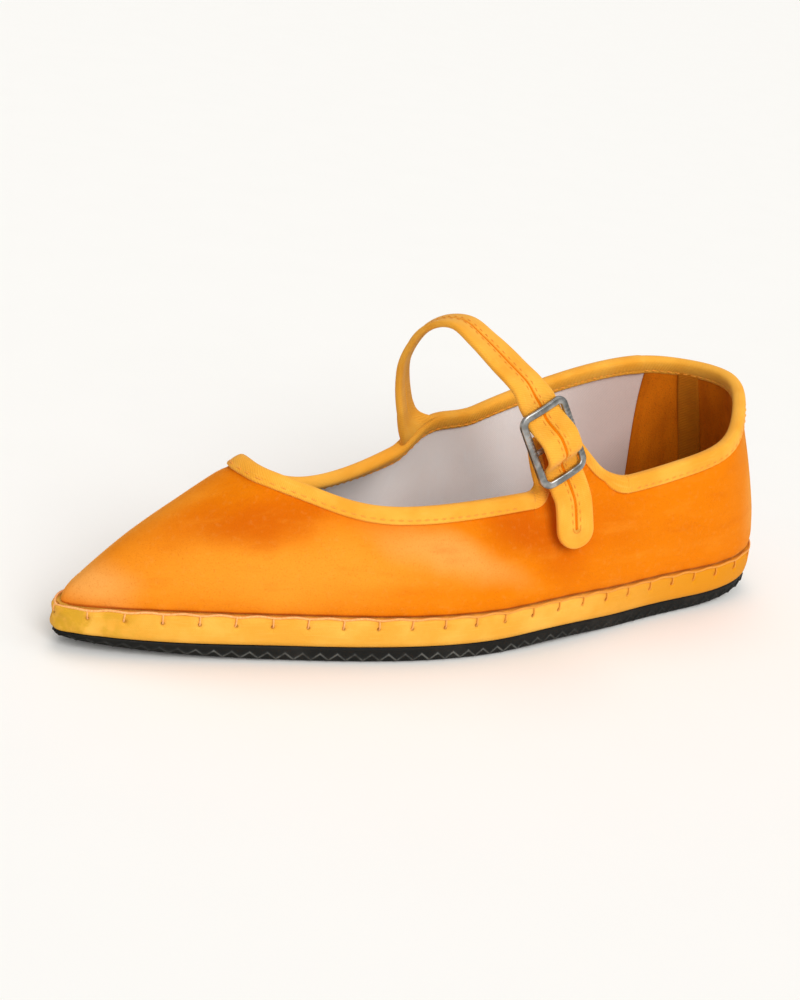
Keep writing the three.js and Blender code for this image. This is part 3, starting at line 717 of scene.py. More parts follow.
# The velvet bulges over its lower edge, is tucked under at the toe, puckers at each stitch, is drawn in by
# the binding except at the tab, and ripples a little everywhere.
swell = 0.25 * np.exp(-(((climb - 4.0) / 2.6) ** 2))
toe_share = np.clip(smooth_wall[0, :, 0] / HALF_LENGTH - 0.85, 0, 0.15) / 0.15
tuck = -0.3 * np.exp(-((climb / 0.6) ** 2)) - 0.7 * toe_share * np.exp(-((climb / 3.0) ** 2))
near_stitches = np.exp(-climb / 4.0) * (1 - np.exp(-climb / 0.8))
pucker = 0.22 * np.cos(2 * np.pi * edge_way / stitch_step) * near_stitches
beside_tab = 1 - eased(T, TAB_FRONT - 0.012, TAB_FRONT) * (1 - eased(T, TAB_BACK + 0.01, TAB_BACK + 0.03))
draw_in = -0.3 * np.exp(-(((below - 5.2) / 1.5) ** 2)) * beside_tab
ripple = 0.12 * np.sin(edge_way / 9.0 + climb / 13.0) * np.sin(edge_way / 23.0 - climb / 7.0)
moved = swell + tuck + pucker + draw_in + ripple * np.clip(climb / 6, 0, 1) * np.clip(below / 8, 0, 1)
moved += crease_depth(smooth_wall) * np.clip(climb / 3, 0, 1) * np.clip(below / 4, 0, 1)
turned_in = sole_point(stations, SHELF + 0.5, MIDSOLE_TOP)
back_T, back_V = np.meshgrid(stations, levels[::-4])
velvet_back = shell_point(back_T, back_V, np.full(back_T.shape, -VELVET_THICK))
velvet_back[-1] = sole_point(stations, SHELF + 1.3, MIDSOLE_TOP)
back_climb = np.interp(back_V, levels, climb.mean(1))
upper = cloth_shell("velvet_upper", np.concatenate([turned_in[None], shell_point(T, V, moved), velvet_back]),
                    np.concatenate([climb[:1], climb, back_climb]))


def painted_light_patch(place, centre, reach, tilt, turn):
    """One patch of painted light or shade, fading to none at the reach."""
    inputs = {
        "Vector": place,
        "Location": tuple(c * 0.001 for c in centre),
        "Rotation": (0, math.radians(tilt), math.radians(turn)),
        "Scale": tuple(r * 0.001 for r in reach),
    }
    local = add_node(place.id_data, "Mapping", inputs, vector_type="TEXTURE").outputs[0]
    length = add_node(place.id_data, "VectorMath", {0: local}, operation="LENGTH").outputs["Value"]
    return spread(length, 0.1, 1.0, 1.0, 0.0)


velvet = new_finish("orange_velvet", {
    "Specular IOR Level": 0.06,
    "Sheen Weight": 0.6,
    "Sheen Roughness": 0.32,
    "Sheen Tint": (1.0, 0.55, 0.13, 1),
})
nodes = velvet.node_tree
place = in_space(velvet)
cloth_at = on_cloth(velvet)
pile = mottle(place, 2300.0, 3.0, 0.6)
tuft = mottle(place, 620.0, 3.0, 0.55)
streak = mottle(stretch(cloth_at, (0.045, 0.16, 1.0)), 1.0, 4.0, 0.55)
cloud = mottle(place, 24.0, 3.0, 0.5)
# The edges of the painted patches of light and shade wander by up to 6 mm to either side.
WANDER = 0.006
wander = add_node(nodes, "TexNoise", {"Vector": place, "Scale": 40.0}).outputs[1]
both_ways = {0: wander, 1: (2 * WANDER,) * 3, 2: (-WANDER,) * 3}
wander = add_node(nodes, "VectorMath", both_ways, operation="MULTIPLY_ADD").outputs[0]
painted_patch_place = add_node(nodes, "VectorMath", {0: place, 1: wander}, operation="ADD").outputs[0]
colour = blend(spread(cloud, 0.32, 0.68), VELVET_DEEP, VELVET_BODY)
# Painted light and shade laid over the velvet's own tone, one patch after another.
for _, centre, reach, tilt, turn, share, tone in PAINTED_LIGHT_AND_SHADE:
    painted_patch = painted_light_patch(painted_patch_place, centre, reach, tilt, turn)
    colour = blend(reckon("MULTIPLY", painted_patch, share), colour, tone)
colour = blend(spread(streak, 0.5, 0.8, 0.0, 0.28), colour, VELVET_NAP_AND_PAINTED_LIGHT)
colour = blend(spread(streak, 0.22, 0.46, 0.3, 0.0), colour, VELVET_NAP_AND_PAINTED_SHADE)
colour = blend(spread(tuft, 0.52, 0.8, 0.0, 0.14), colour, VELVET_TUFT_AND_PAINTED_SHEEN)
colour = blend(spread(pile, 0.25, 0.5, 0.4, 0.0), colour, VELVET_NAP_AND_PAINTED_SHADE)
# A thin line of painted shade along the velvet's lower edge, where it tucks into the band.
painted_feather_shade = spread(split(cloth_at)[1], 0.1, 0.8, 0.75, 0.0)
colour = blend(painted_feather_shade, colour, (0.38, 0.06, 0.002, 1))
relief = raised(streak, 0.5, 0.25, raised(tuft, 0.3, 0.35, raised(pile, 0.22, 0.55)))
dress(velvet, colour, spread(pile, 0.2, 0.8, 0.82, 1.0), relief)
fit(upper, velvet, "velvet", "upper")

# Lining: pale cotton cloth, cut as one with the velvet and glued to its back.
# It lies a little loose inside, so it falls in soft upright folds along the sides.
LINING_HEIGHT = 45.0
FOLD_WIDTH = 0.011
# Folds of the lining: place round, depth.
LINING_FOLDS = [
    (0.19, 0.5),
    (0.235, 0.4),
    (0.33, 0.5),
    (0.66, 0.7),
    (0.70, 0.9),
    (0.738, 0.8),
    (0.775, 1.0),
    (0.82, 0.8),
]
T, V = np.meshgrid(stations, np.linspace(0.02, 1, 34))
fold = np.zeros(T.shape)
for fold_at, depth in LINING_FOLDS:
    away = T - fold_at - 0.016 * (V - 0.5)
    fold += depth * np.exp(-((away / FOLD_WIDTH) ** 2)) * np.sin(np.pi * V)
back_T, back_V = T[::-4][::-1], V[::-4][::-1]
lining_back = shell_point(back_T, back_V, np.full(back_T.shape, -VELVET_THICK - 0.15))
lining_face = shell_point(T, V, -WALL - fold)
lining = cloth_shell("cotton_lining", np.concatenate([lining_back, lining_face[::-1]]),
                     np.concatenate([back_V, V[::-1]]) * LINING_HEIGHT)
lining_cotton = new_finish("pale_lining_cotton", {
    "Specular IOR Level": 0.2,
    "Sheen Weight": 1.0,
    "Sheen Roughness": 0.6,
    "Sheen Tint": (1.0, 0.96, 0.94, 1),
})
place = in_space(lining_cotton)
cloth_at = on_cloth(lining_cotton)
weave = weave_of(split(cloth_at), 0.7, 0.7)
wash = mottle(place, 45.0, 4.0)
slub = mottle(stretch(cloth_at, (0.5, 0.06, 1.0)), 1.0, 3.0)
pale = blend(spread(wash, 0.3, 0.7), (0.93, 0.82, 0.77, 1), (0.97, 0.89, 0.85, 1))
pale = blend(spread(slub, 0.5, 0.8, 0.0, 0.4), pale, (0.96, 0.92, 0.90, 1))
pale = blend(spread(weave, 0.0, 0.5, 0.12, 0.0), pale, (0.72, 0.63, 0.61, 1))
# The lining is painted darker toward the heel, as painted shade in the heel's hollow.
toward_heel = spread(split(place)[0], -0.085, -0.035, 0.9, 0.0)
pale = blend(toward_heel, pale, (0.65, 0.46, 0.40, 1))
dress(lining_cotton, pale, spread(wash, 0.2, 0.8, 0.82, 0.95), raised(weave, 0.08, 0.7))
fit(lining, lining_cotton, "lining_cotton")

# Heel lining: a panel of orange velvet laid over the cotton at the back, so that the heel doesn't slip,
# painted darker than the outer velvet as shade inside the heel.
# Its front edges are cut raw, and a ribbed olive-brown tape a centimetre wide is sewn over its middle seam.
# Upright lines of panel and tape: place round at the feather line, and how far it shifts up to the collar.
PANEL_OUTER_EDGE = (0.434, 0.008)
PANEL_INNER_EDGE = (0.5985, -0.0085)
TAPE_OUTER_EDGE = (0.5345, 0.0085)
TAPE_INNER_EDGE = (0.5520, 0.0085)
PATCH_CLOTH = (90, 48)


def sheet_faces(rows, columns):
    """Faces of a thin closed sheet: its front, its back and the rim between them."""
    half = rows * columns
    front = hoop_faces(rows, columns, closed_around=False)
    faces = front + [tuple(i + half for i in face)[::-1] for face in front]
    rim = list(range(columns)) + [r * columns + columns - 1 for r in range(1, rows)]
    rim += [half - columns + c for c in range(columns - 2, -1, -1)]
    rim += [r * columns for r in range(rows - 2, 0, -1)]
    return faces + [(b, a, a + half, b + half) for a, b in zip(rim, rim[1:] + rim[:1])]


def wall_patch(name, left, right, low, high, columns, rows, front, back):
    """A thin sheet on the inside of the wall between two upright lines; front and back are its offsets."""
    U, W = np.meshgrid(np.linspace(0, 1, columns), np.linspace(0, 1, rows))
    V = low + (high - low) * W
    T = (left[0] + left[1] * V) * (1 - U) + (right[0] + right[1] * V) * U
    edge = np.minimum(np.minimum(U, 1 - U) * columns, np.minimum(W, 1 - W) * rows)
    inside = shell_point(T, V, back + (front - back) * np.clip(0.25 + edge / 2, 0, 1))
    outside = shell_point(T, V, np.full(T.shape, back))
    points = np.concatenate([inside.reshape(-1, 3), outside.reshape(-1, 3)])
    cloth = (np.stack([U, W], -1) * PATCH_CLOTH).reshape(-1, 2)
    faces = [face[::-1] for face in sheet_faces(rows, columns)]
    return make_piece(name, points, faces, np.concatenate([cloth, cloth]))


heel_panel = wall_patch("heel_lining", PANEL_OUTER_EDGE, PANEL_INNER_EDGE, 0.03, 0.97, 120, 34,
                        front=-WALL - 0.75, back=-WALL - 0.1)
heel_velvet = new_finish("heel_lining_velvet", {
    "Specular IOR Level": 0.1,
    "Sheen Weight": 0.12,
    "Sheen Tint": (0.9, 0.45, 0.15, 1),
})
place = in_space(heel_velvet)
pile = mottle(place, 1900.0, 3.0, 0.6)
cloud = mottle(stretch(place, (1.0, 1.0, 0.25)), 120.0, 3.0, 0.5)
# The panel's tones are painted dark, as shade inside the heel.
colour = blend(spread(cloud, 0.3, 0.7), (0.50, 0.105, 0.001, 1), (0.70, 0.172, 0.002, 1))
colour = blend(spread(pile, 0.25, 0.5, 0.4, 0.0), colour, (0.20, 0.035, 0.001, 1))
dress(heel_velvet, colour, spread(pile, 0.2, 0.8, 0.85, 1.0), raised(pile, 0.25, 0.6))
fit(heel_panel, heel_velvet, "velvet")
heel_tape = wall_patch("heel_seam_tape", TAPE_OUTER_EDGE, TAPE_INNER_EDGE, 0.04, 0.95, 23, 60,
                       front=-WALL - 1.25, back=-WALL - 0.8)
seam_tape = new_finish("olive_seam_tape", {"Specular IOR Level": 0.2})
rib = spread(wave(split(on_cloth(seam_tape))[1], 0.6), -1.0, 1.0)
fade = mottle(in_space(seam_tape), 200.0, 3.0)
colour = blend(fade, (0.44, 0.122, 0.002, 1), (0.62, 0.195, 0.005, 1))
dress(seam_tape, colour, spread(fade, 0.2, 0.8, 0.8, 0.95), raised(rib, 0.12, 0.8))
fit(heel_tape, seam_tape, "binding_tape")

# Collar binding: a folded tape of yellow-orange cotton twill, sewn over the raw edge of velvet and lining.
# It runs from one side of the buckle's tab round the heel and the throat to the other, with one lapped join
# at the inner heel.
BINDING_THICK = 1.0
TAPE_JOIN = 0.5955
JOIN_STEP = 0.35
OUTSIDE = GAP
INSIDE = -WALL - GAP
# The tape leaves the collar to climb the tab this far along the collar from the tab's rear and front edges,
# and laps under the tab's own tape there.
REAR_FILLET = 7.0
FRONT_FILLET = 3.0
REAR_LAP = 1.5
FRONT_LAP = 1.0
# The tape's section: distance below the collar's edge, offset from the wall's outer face, lift over the edge.
TAPE_SECTION = [
    (4.4, OUTSIDE - 0.2, 0.0),
    (4.45, OUTSIDE + 0.4, 0.0),
    (4.1, OUTSIDE + 0.68, 0.0),
    (3.6, OUTSIDE + 0.76, 0.0),
    (3.25, OUTSIDE + 0.68, 0.0),
    (2.9, OUTSIDE + 0.82, 0.0),
    (2.2, OUTSIDE + 0.95, 0.0),
    (1.4, OUTSIDE + 1.02, 0.0),
    (0.7, OUTSIDE + 1.02, 0.0),
    (0.0, OUTSIDE + 0.92, 0.1),
    (0.0, OUTSIDE + 0.6, 0.7),
    (0.0, OUTSIDE - 0.1, 1.1),
    (0.0, -WALL / 2, 1.3),
    (0.0, INSIDE + 0.1, 1.1),
    (0.0, INSIDE - 0.6, 0.7),
    (0.0, INSIDE - 0.92, 0.1),
    (0.8, INSIDE - 1.02, 0.0),
    (1.9, INSIDE - 0.98, 0.0),
    (2.9, INSIDE - 0.82, 0.0),
    (3.25, INSIDE - 0.68, 0.0),
    (3.6, INSIDE - 0.76, 0.0),
    (4.1, INSIDE - 0.66, 0.0),
    (4.45, INSIDE - 0.38, 0.0),
    (4.4, INSIDE + 0.2, 0.0),
]
BINDING_STITCH = 2.9


def binding_point(t, below, offset, over):
    """A point of the tape over the collar's edge."""
    t = np.asarray(t, float)
    v = 1 - np.asarray(below) / (3 * run_down(t))
    climb = unit(wall_point(t, 1.0) - wall_point(t, 0.98))
    on_wall = shell_point(t, np.broadcast_to(v, t.shape), np.broadcast_to(offset, t.shape))
    return on_wall + climb * np.asarray(over)[..., None]


def binding_top(t):
    return binding_point(t, 0.0, -WALL / 2, GAP + BINDING_THICK)


def strip_faces(rings, count):
    """Faces of a closed section of rings carried along a line of count points, with both ends capped."""
    faces = hoop_faces(rings, count, closed_rings=True, closed_around=False)
    faces.append(tuple(r * count for r in range(rings)))
    faces.append(tuple(r * count + count - 1 for r in range(rings))[::-1])
    return faces


tab_span = TAB_BACK - TAB_FRONT
tab_foot = np.linalg.norm(binding_top(TAB_BACK) - binding_top(TAB_FRONT))
tape_start = TAB_BACK + tab_span * (REAR_FILLET - REAR_LAP) / tab_foot
tape_end = TAB_FRONT - tab_span * (FRONT_FILLET - FRONT_LAP) / tab_foot
tape_at = np.linspace(tape_start, tape_end + 1, 900)
tape_way = way_along(binding_top(tape_at))
past_join = tape_way - np.interp(TAPE_JOIN, tape_at, tape_way)
overlap = JOIN_STEP / (1 + np.exp(-past_join / 0.25)) * np.exp(-np.maximum(0, past_join) / 9.0)
drawn = 0.12 * np.sin(2 * np.pi * tape_way / BINDING_STITCH)
rings, cloth = [], []
for (low, offset, over), across in zip(TAPE_SECTION, way_along(TAPE_SECTION)):
    lift = overlap + drawn * (low > 2.8) * 0.4
    outer_face = offset > -WALL / 2
    slack = 0.15 * np.sin(tape_way / 17.0) * (low > 2.4)
    away = offset + (lift if outer_face else -lift)
    rings.append(binding_point(tape_at, low + slack, away, np.full(len(tape_at), over)))
    cloth.append(np.stack([tape_way, np.full(len(tape_at), across)], -1))
collar_tape = make_piece("collar_binding_tape", np.concatenate(rings), strip_faces(len(rings), len(tape_at)),
                         np.concatenate(cloth))
binding_tape = new_finish("twill_binding_tape", {
    "Specular IOR Level": 0.2,
    "Sheen Weight": 0.15,
    "Sheen Tint": (1.0, 0.8, 0.5, 1),
})
cloth_at = on_cloth(binding_tape)
axis = split(cloth_at)
slanted = reckon("ADD", axis[0], reckon("MULTIPLY", axis[1], 0.6))
rib = spread(wave(slanted, 0.62), -1.0, 1.0)
cross = spread(wave(axis[1], 0.45), -1.0, 1.0)
dye = mottle(in_space(binding_tape), 85.0, 4.0)
slub = mottle(stretch(cloth_at, (0.16, 1.4, 1.0)), 1.0, 3.0)
colour = blend(spread(dye, 0.3, 0.7), (0.88, 0.36, 0.022, 1), (0.97, 0.46, 0.050, 1))
colour = blend(spread(slub, 0.5, 0.8, 0.0, 0.35), colour, (0.98, 0.55, 0.10, 1))
colour = blend(spread(rib, 0.0, 0.5, 0.22, 0.0), colour, (0.66, 0.22, 0.006, 1))
relief = raised(cross, 0.05, 0.5, raised(rib, 0.08, 0.7))
dress(binding_tape, colour, spread(dye, 0.2, 0.8, 0.75, 0.92), relief)
fit(collar_tape, binding_tape, "binding_tape", "collar_binding")

# Binding stitches: a fine row of machine stitching through tape, velvet and lining, near the tape's edge.
# The thread is a shade darker than the tape and lies a little sunk in the row it has pulled.
BINDING_THREAD = 0.19
ROW_BELOW = 3.35
ROW_LIFT = 0.62
ROW_FIRST = 3.0
ROW_LAST = 5.0
STITCH_HALF = 0.36
STITCH_DIP = np.array([-0.4, 0.05, 0.2, 0.24, 0.2, 0.05, -0.4])


def stitch_row(place_on, normal_on, first, last, step, radius):
    """Short stitches along a line, each dipping into the cloth at its ends."""
    tubes = []
    for n in range(int((last - first) / step)):
        way = first + (n + 0.5) * step + step * STITCH_HALF * np.linspace(-1, 1, len(STITCH_DIP))
        normal = normal_on(way)
        tubes.append(thread_tube(place_on(way) + normal * STITCH_DIP[:, None], normal, radius, sides=6))
    return tubes


def collar_row(offset, facing):
    """The stitches on one face of the collar's tape; facing is 1 on the outside and -1 on the inside."""

    def on_tape(way):
        return binding_point(np.interp(way, tape_way, tape_at), ROW_BELOW, offset, np.zeros(len(way)))

    def off_tape(way):
        t = np.interp(way, tape_way, tape_at)
        return facing * wall_normal(t, 1 - ROW_BELOW / (3 * run_down(t)))

    last = tape_way[-1] - ROW_LAST
    return stitch_row(on_tape, off_tape, ROW_FIRST, last, BINDING_STITCH, BINDING_THREAD)


both_rows = collar_row(OUTSIDE + ROW_LIFT, 1) + collar_row(INSIDE - ROW_LIFT, -1)
binding_stitches = make_piece("binding_stitches", *gather(both_rows))
sewing_thread = new_finish("tape_sewing_thread", {"Specular IOR Level": 0.35, "Sheen Weight": 0.1})
strand = mottle(in_space(sewing_thread), 2600.0, 2.0)
colour = blend(spread(strand, 0.3, 0.7), (0.78, 0.28, 0.014, 1), (0.90, 0.37, 0.034, 1))
dress(sewing_thread, colour, spread(strand, 0.3, 0.7, 0.5, 0.75), raised(strand, 0.08, 0.6))
fit(binding_stitches, sewing_thread, "binding_tape")

# Strap: a strip of velvet whose edges are bound all round in the collar's tape, so that a line of pile shows.
# It is sewn into the inner collar, arches over the instep, and is threaded down through the buckle to a
# rounded end.
STRAP_WIDTH = 12.8
HALF_STRAP = STRAP_WIDTH / 2
STRAP_THICK = 2.2
STRAP_FOOT = 4.5
ROOT_SINK = 1.2
BUCKLE_LENGTH = 26.0
BUCKLE_BAR = 2.4
BUCKLE_THICK = 1.6
BUCKLE_AT = np.array([-14.3, 30.4, 66.1])
BUCKLE_DOWN = unit(np.array([-0.45, 0.164, -0.875]))
BAR_SPACING = (BUCKLE_LENGTH - BUCKLE_BAR) / 2
WEAVE_UNDER = (STRAP_THICK + BUCKLE_THICK) / 2 + 2 * GAP
WEAVE_OVER = 4.6
SIDE_PULL = 0.9
CORE_HALF = HALF_STRAP - 0.5
root_edge = binding_top(STRAP_ROOT)


def along_buckle(distance):
    return BUCKLE_AT + BUCKLE_DOWN * distance


# The strap's line: place, point, and the direction of its width in plan, in degrees from the toe to the outer
# side.
STRAP_PATH = [
    ("root", root_edge + (0.6, 0, 0.65), 18),
    ("foot of the arch", root_edge + (4, -0.6, 5.3), 38),
    ("inner side", (6.8, -23.4, 73.3), 46),
    ("inner shoulder", (7.6, -16, 86.3), 42),
    ("before the top", (6.8, -7, 93.3), 32),
    ("top", (5, 1.5, 95.5), 22),
    ("outer shoulder", (2.6, 9.5, 92.6), 13),
    ("outer side", (-1.4, 17.6, 87.5), 4),
    ("into the buckle", along_buckle(-1.5 * BAR_SPACING) + (0.6, -1.4, 0), -2),
    ("top bar", along_buckle(-BAR_SPACING), -3),
    ("centre bar", along_buckle(0), -3),
    ("bottom bar", along_buckle(BAR_SPACING), -3),
    ("out of the buckle", along_buckle(1.6 * BAR_SPACING), -6),
    ("tip", (-24.4, 38, 33.1), -10),
]
# The velvet's section: share of its half width toward the toe, lift off its middle.
CORE_SECTION = [
    (1, 0),
    (0.9, -0.55),
    (0.3, -0.72),
    (-0.3, -0.72),
    (-0.9, -0.55),
    (-1, 0),
    (-0.9, 0.55),
    (-0.3, 0.72),
    (0.3, 0.72),
    (0.9, 0.55),
]


def curve_through(spots, share):
    """A smooth line through the spots, without loops where they are close together."""
    spots = np.concatenate([[2 * spots[0] - spots[1]], spots, [2 * spots[-1] - spots[-2]]])
    row = share * (len(spots) - 3)
    i = np.clip(row.astype(int), 0, len(spots) - 4)
    b = (row - i)[:, None]
    p0, p1, p2, p3 = (spots[i + k] for k in range(4))
    d0, d1, d2 = (np.sqrt(np.linalg.norm(q - p, axis=1))[:, None] for p, q in ((p0, p1), (p1, p2), (p2, p3)))
    m1 = ((p1 - p0) / d0 - (p2 - p0) / (d0 + d1) + (p2 - p1) / d1) * d1
    m2 = ((p2 - p1) / d1 - (p3 - p1) / (d1 + d2) + (p3 - p2) / d2) * d1
    return p1 + m1 * b + (3 * (p2 - p1) - 2 * m1 - m2) * b**2 + (2 * (p1 - p2) + m1 + m2) * b**3


strap_places, strap_spots, strap_turns = zip(*STRAP_PATH)
last_row = len(STRAP_PATH) - 1
share = np.linspace(0, 1, 2601)
strap_line = curve_through(np.array(strap_spots, float), share)
strap_way = way_along(strap_line)
strap_length = strap_way[-1]
strap_forward = unit(np.gradient(strap_line, axis=0))
centre_way = strap_way[round(2600 * strap_places.index("centre bar") / last_row)]
heading = np.radians(np.interp(share * last_row, np.arange(len(STRAP_PATH)), strap_turns))
plan = np.stack([np.cos(heading), np.sin(heading), np.zeros(len(share))], -1)
strap_across = unit(plan - strap_forward * np.sum(plan * strap_forward, axis=1)[:, None])
strap_face = np.cross(strap_across, strap_forward)


def weave_lift(way):
    """The strap passes under the buckle's end bars and over its centre bar, and settles back beyond them."""
    d = np.abs(way - centre_way) / BAR_SPACING
    over = (1 + np.sin(np.pi / 2 * np.cos(np.pi * np.minimum(d, 1)))) / 2
    between = -WEAVE_UNDER + (WEAVE_UNDER + WEAVE_OVER) * over
    beyond = -WEAVE_UNDER * (1 + np.cos(np.pi * np.clip((d - 1) / 0.9, 0, 1))) / 2
    return np.where(d <= 1, between, beyond)


def side_pull(way):
    """At the end bars the strap is pulled a little to the heel side of the buckle."""
    return -SIDE_PULL * np.exp(-(((np.abs(way - centre_way) / BAR_SPACING - 1) / 0.38) ** 2))


strap_line = strap_line + strap_face * weave_lift(strap_way)[:, None]
strap_line = strap_line + strap_across * side_pull(strap_way)[:, None]
collar_step = np.linalg.norm(binding_top(STRAP_ROOT + 0.01) - binding_top(STRAP_ROOT - 0.01)) / 0.02


def read_along(table, way):
    return np.stack([np.interp(way, strap_way, table[:, k]) for k in range(3)], -1)


def strap_point(way, reach, lift):
    """A point of the strap: way along it, reach across it toward the toe, lift off its middle."""
    way, reach, lift = np.broadcast_arrays(*(np.asarray(value, float) for value in (way, reach, lift)))
    point = read_along(strap_line, way) + read_along(strap_across, way) * reach[..., None]
    point += read_along(strap_face, way) * lift[..., None]
    collar = binding_top(STRAP_ROOT + reach / collar_step) - root_edge - strap_across[0] * reach[..., None]
    collar[..., 2] += np.minimum(way, 0) - ROOT_SINK
    return point + collar * np.clip(1 - way / (2 * STRAP_FOOT), 0, 1)[..., None]


core_ways = np.linspace(2.5, strap_length - 1.2, 320)
left = strap_length - core_ways
core_round = np.where(left < HALF_STRAP, np.sqrt(np.maximum(0, 1 - (1 - left / HALF_STRAP) ** 2)), 1.0)
core = np.stack([strap_point(core_ways, CORE_HALF * core_round * a, lift) for a, lift in CORE_SECTION], 1)
core_across = 20 + np.tile([4 * a for a, _ in CORE_SECTION], len(core_ways))
core_cloth = np.stack([np.repeat(core_ways, len(CORE_SECTION)), core_across], -1)
strap_core = make_piece("strap_velvet", core.reshape(-1, 3), tube_faces(*core.shape[:2]), core_cloth)
fit(strap_core, velvet, "velvet", "strap")

# Strap tape: the collar's twill tape, folded over the strap's edge and carried round its end in one length.
# A fillet of it at the root joins the strap's rear edge to the collar, and a row of stitches along its inner
# edge sews it down.
TAPE_COVER = 5.95
HALF_THICK = STRAP_THICK / 2
ROOT_LAP = 0.6
LAP_LENGTH = 8.0
CLOSED_TO = 36.0
OPEN_FROM = 54.0
STRAP_ROW_BELOW = 0.9
STRAP_ROW_FIRST = 9.0
STRAP_ROW_LAST = 14.0
STRAP_STITCH = 2.5
STRAP_THREAD = 0.15


def folded(face):
    """A folded tape's section from its upper face: distance in from the edge, share of half the thickness."""
    return face + [(inset, -lift) for inset, lift in face[::-1]]


FOLD_SECTION = folded([
    (TAPE_COVER, 0.55),
    (TAPE_COVER - 0.05, 0.88),
    (TAPE_COVER - 0.4, 1.0),
    (TAPE_COVER - 0.9, 0.92),
    (TAPE_COVER - 1.5, 1.02),
    (3.2, 1.06),
    (1.6, 1.06),
    (0.7, 0.98),
    (0.2, 0.72),
    (0.0, 0.3),
])


def fillet_reach(up, along, high):
    """How far a fillet at the foot of an edge reaches out beside it."""
    left = np.clip(1 - up / high, 0, 1)
    return along * (1 - np.sqrt(1 - left**2))


side_ways = np.concatenate([np.linspace(0, 1, 40)[:-1] ** 1.6 * STRAP_FOOT,
                            np.linspace(STRAP_FOOT, strap_length - HALF_STRAP, 300)])
bend = np.linspace(np.pi / 2, -np.pi / 2, 42)[1:-1]
rear_edge = -HALF_STRAP - fillet_reach(side_ways, STRAP_FOOT, STRAP_FOOT)
strap_edge = np.concatenate([
    np.stack([side_ways, np.full(len(side_ways), HALF_STRAP)], -1),
    np.stack([strap_length - HALF_STRAP * (1 - np.cos(bend)), HALF_STRAP * np.sin(bend)], -1),
    np.stack([side_ways, rear_edge], -1)[::-1],
])
strap_edge_ahead = unit(np.gradient(strap_edge, axis=0))
strap_edge_inward = np.stack([strap_edge_ahead[:, 1], -strap_edge_ahead[:, 0]], -1)
strap_edge_way = way_along(strap_edge)


def tape_place(way, inset, lift):
    """A point of the strap's tape: its edges meet on the inner limb, and the front one laps at the root."""
    line = np.stack([np.interp(way, strap_edge_way, strap_edge[:, k]) for k in range(2)], -1)
    inward = unit(np.stack([np.interp(way, strap_edge_way, strap_edge_inward[:, k]) for k in range(2)], -1))
    meeting = (HALF_STRAP - 0.04) / TAPE_COVER
    closing = 1 + (meeting - 1) * (1 - eased(line[..., 0], CLOSED_TO, OPEN_FROM))
    lap = (1 - eased(line[..., 0], 0.0, LAP_LENGTH)) * (line[..., 1] > 0)
    spot = line + inward * (np.asarray(inset) * (closing + ROOT_LAP * lap))[..., None]
    inside_collar = 0.25 * np.minimum(spot[..., 0], 0)
    return strap_point(np.maximum(spot[..., 0], inside_collar), spot[..., 1], lift * (1 + 0.12 * lap))


count = len(strap_edge_way)
loops = [tape_place(strap_edge_way, np.full(count, inset), lift * HALF_THICK) for inset, lift in FOLD_SECTION]
faces = [face[::-1] for face in strip_faces(len(loops), count)]
fold_way = way_along(FOLD_SECTION)
cloth = np.concatenate([np.stack([strap_edge_way, np.full(count, 60 + across)], -1) for across in fold_way])
strap_tape = make_piece("strap_tape", np.concatenate(loops), faces, cloth)
fit(strap_tape, binding_tape, "binding_tape")


def on_fold(way):
    return tape_place(way, np.full(len(way), TAPE_COVER - STRAP_ROW_BELOW), HALF_THICK * 0.88)


def off_fold(way):
    return read_along(strap_face, np.interp(way, strap_edge_way, strap_edge[:, 0]))


last = strap_edge_way[-1] - STRAP_ROW_LAST
strap_row = stitch_row(on_fold, off_fold, STRAP_ROW_FIRST, last, STRAP_STITCH, STRAP_THREAD)
strap_stitches = make_piece("strap_stitches", *gather(strap_row))
fit(strap_stitches, sewing_thread, "binding_tape")

# Buckle tab: an ear of the upper's own velvet that stands up from the outer collar and carries the buckle.
# The collar's tape turns up its rear edge, crosses its top behind the buckle, and comes down its front edge.
TAB_THICK = 2.0
TAB_TOP_WIDTH = 15.0
TAB_HEIGHT = 21.0
TAB_SINK = 7.5
TAB_CORNER = 3.0
REAR_CLIMB = 6.0
FRONT_CLIMB = 3.5
EDGE_COVER = 0.8
TAB_TOP_AT = -4.0
# The velvet's half thickness: height over the collar's edge, half thickness there.
TAB_PROFILE = [(-7.5, 0.5), (-5.5, 0.75), (-3.5, 0.98), (0.0, 0.98), (4.0, 0.72), (TAB_HEIGHT, 0.72)]
seat_across = read_along(strap_across, np.array([centre_way]))[0]
seat_forward = read_along(strap_forward, np.array([centre_way]))[0]
seat_face = np.cross(seat_across, seat_forward)
tab_top = along_buckle(TAB_TOP_AT) - seat_face * ((BUCKLE_THICK + TAB_THICK) / 2 + GAP)


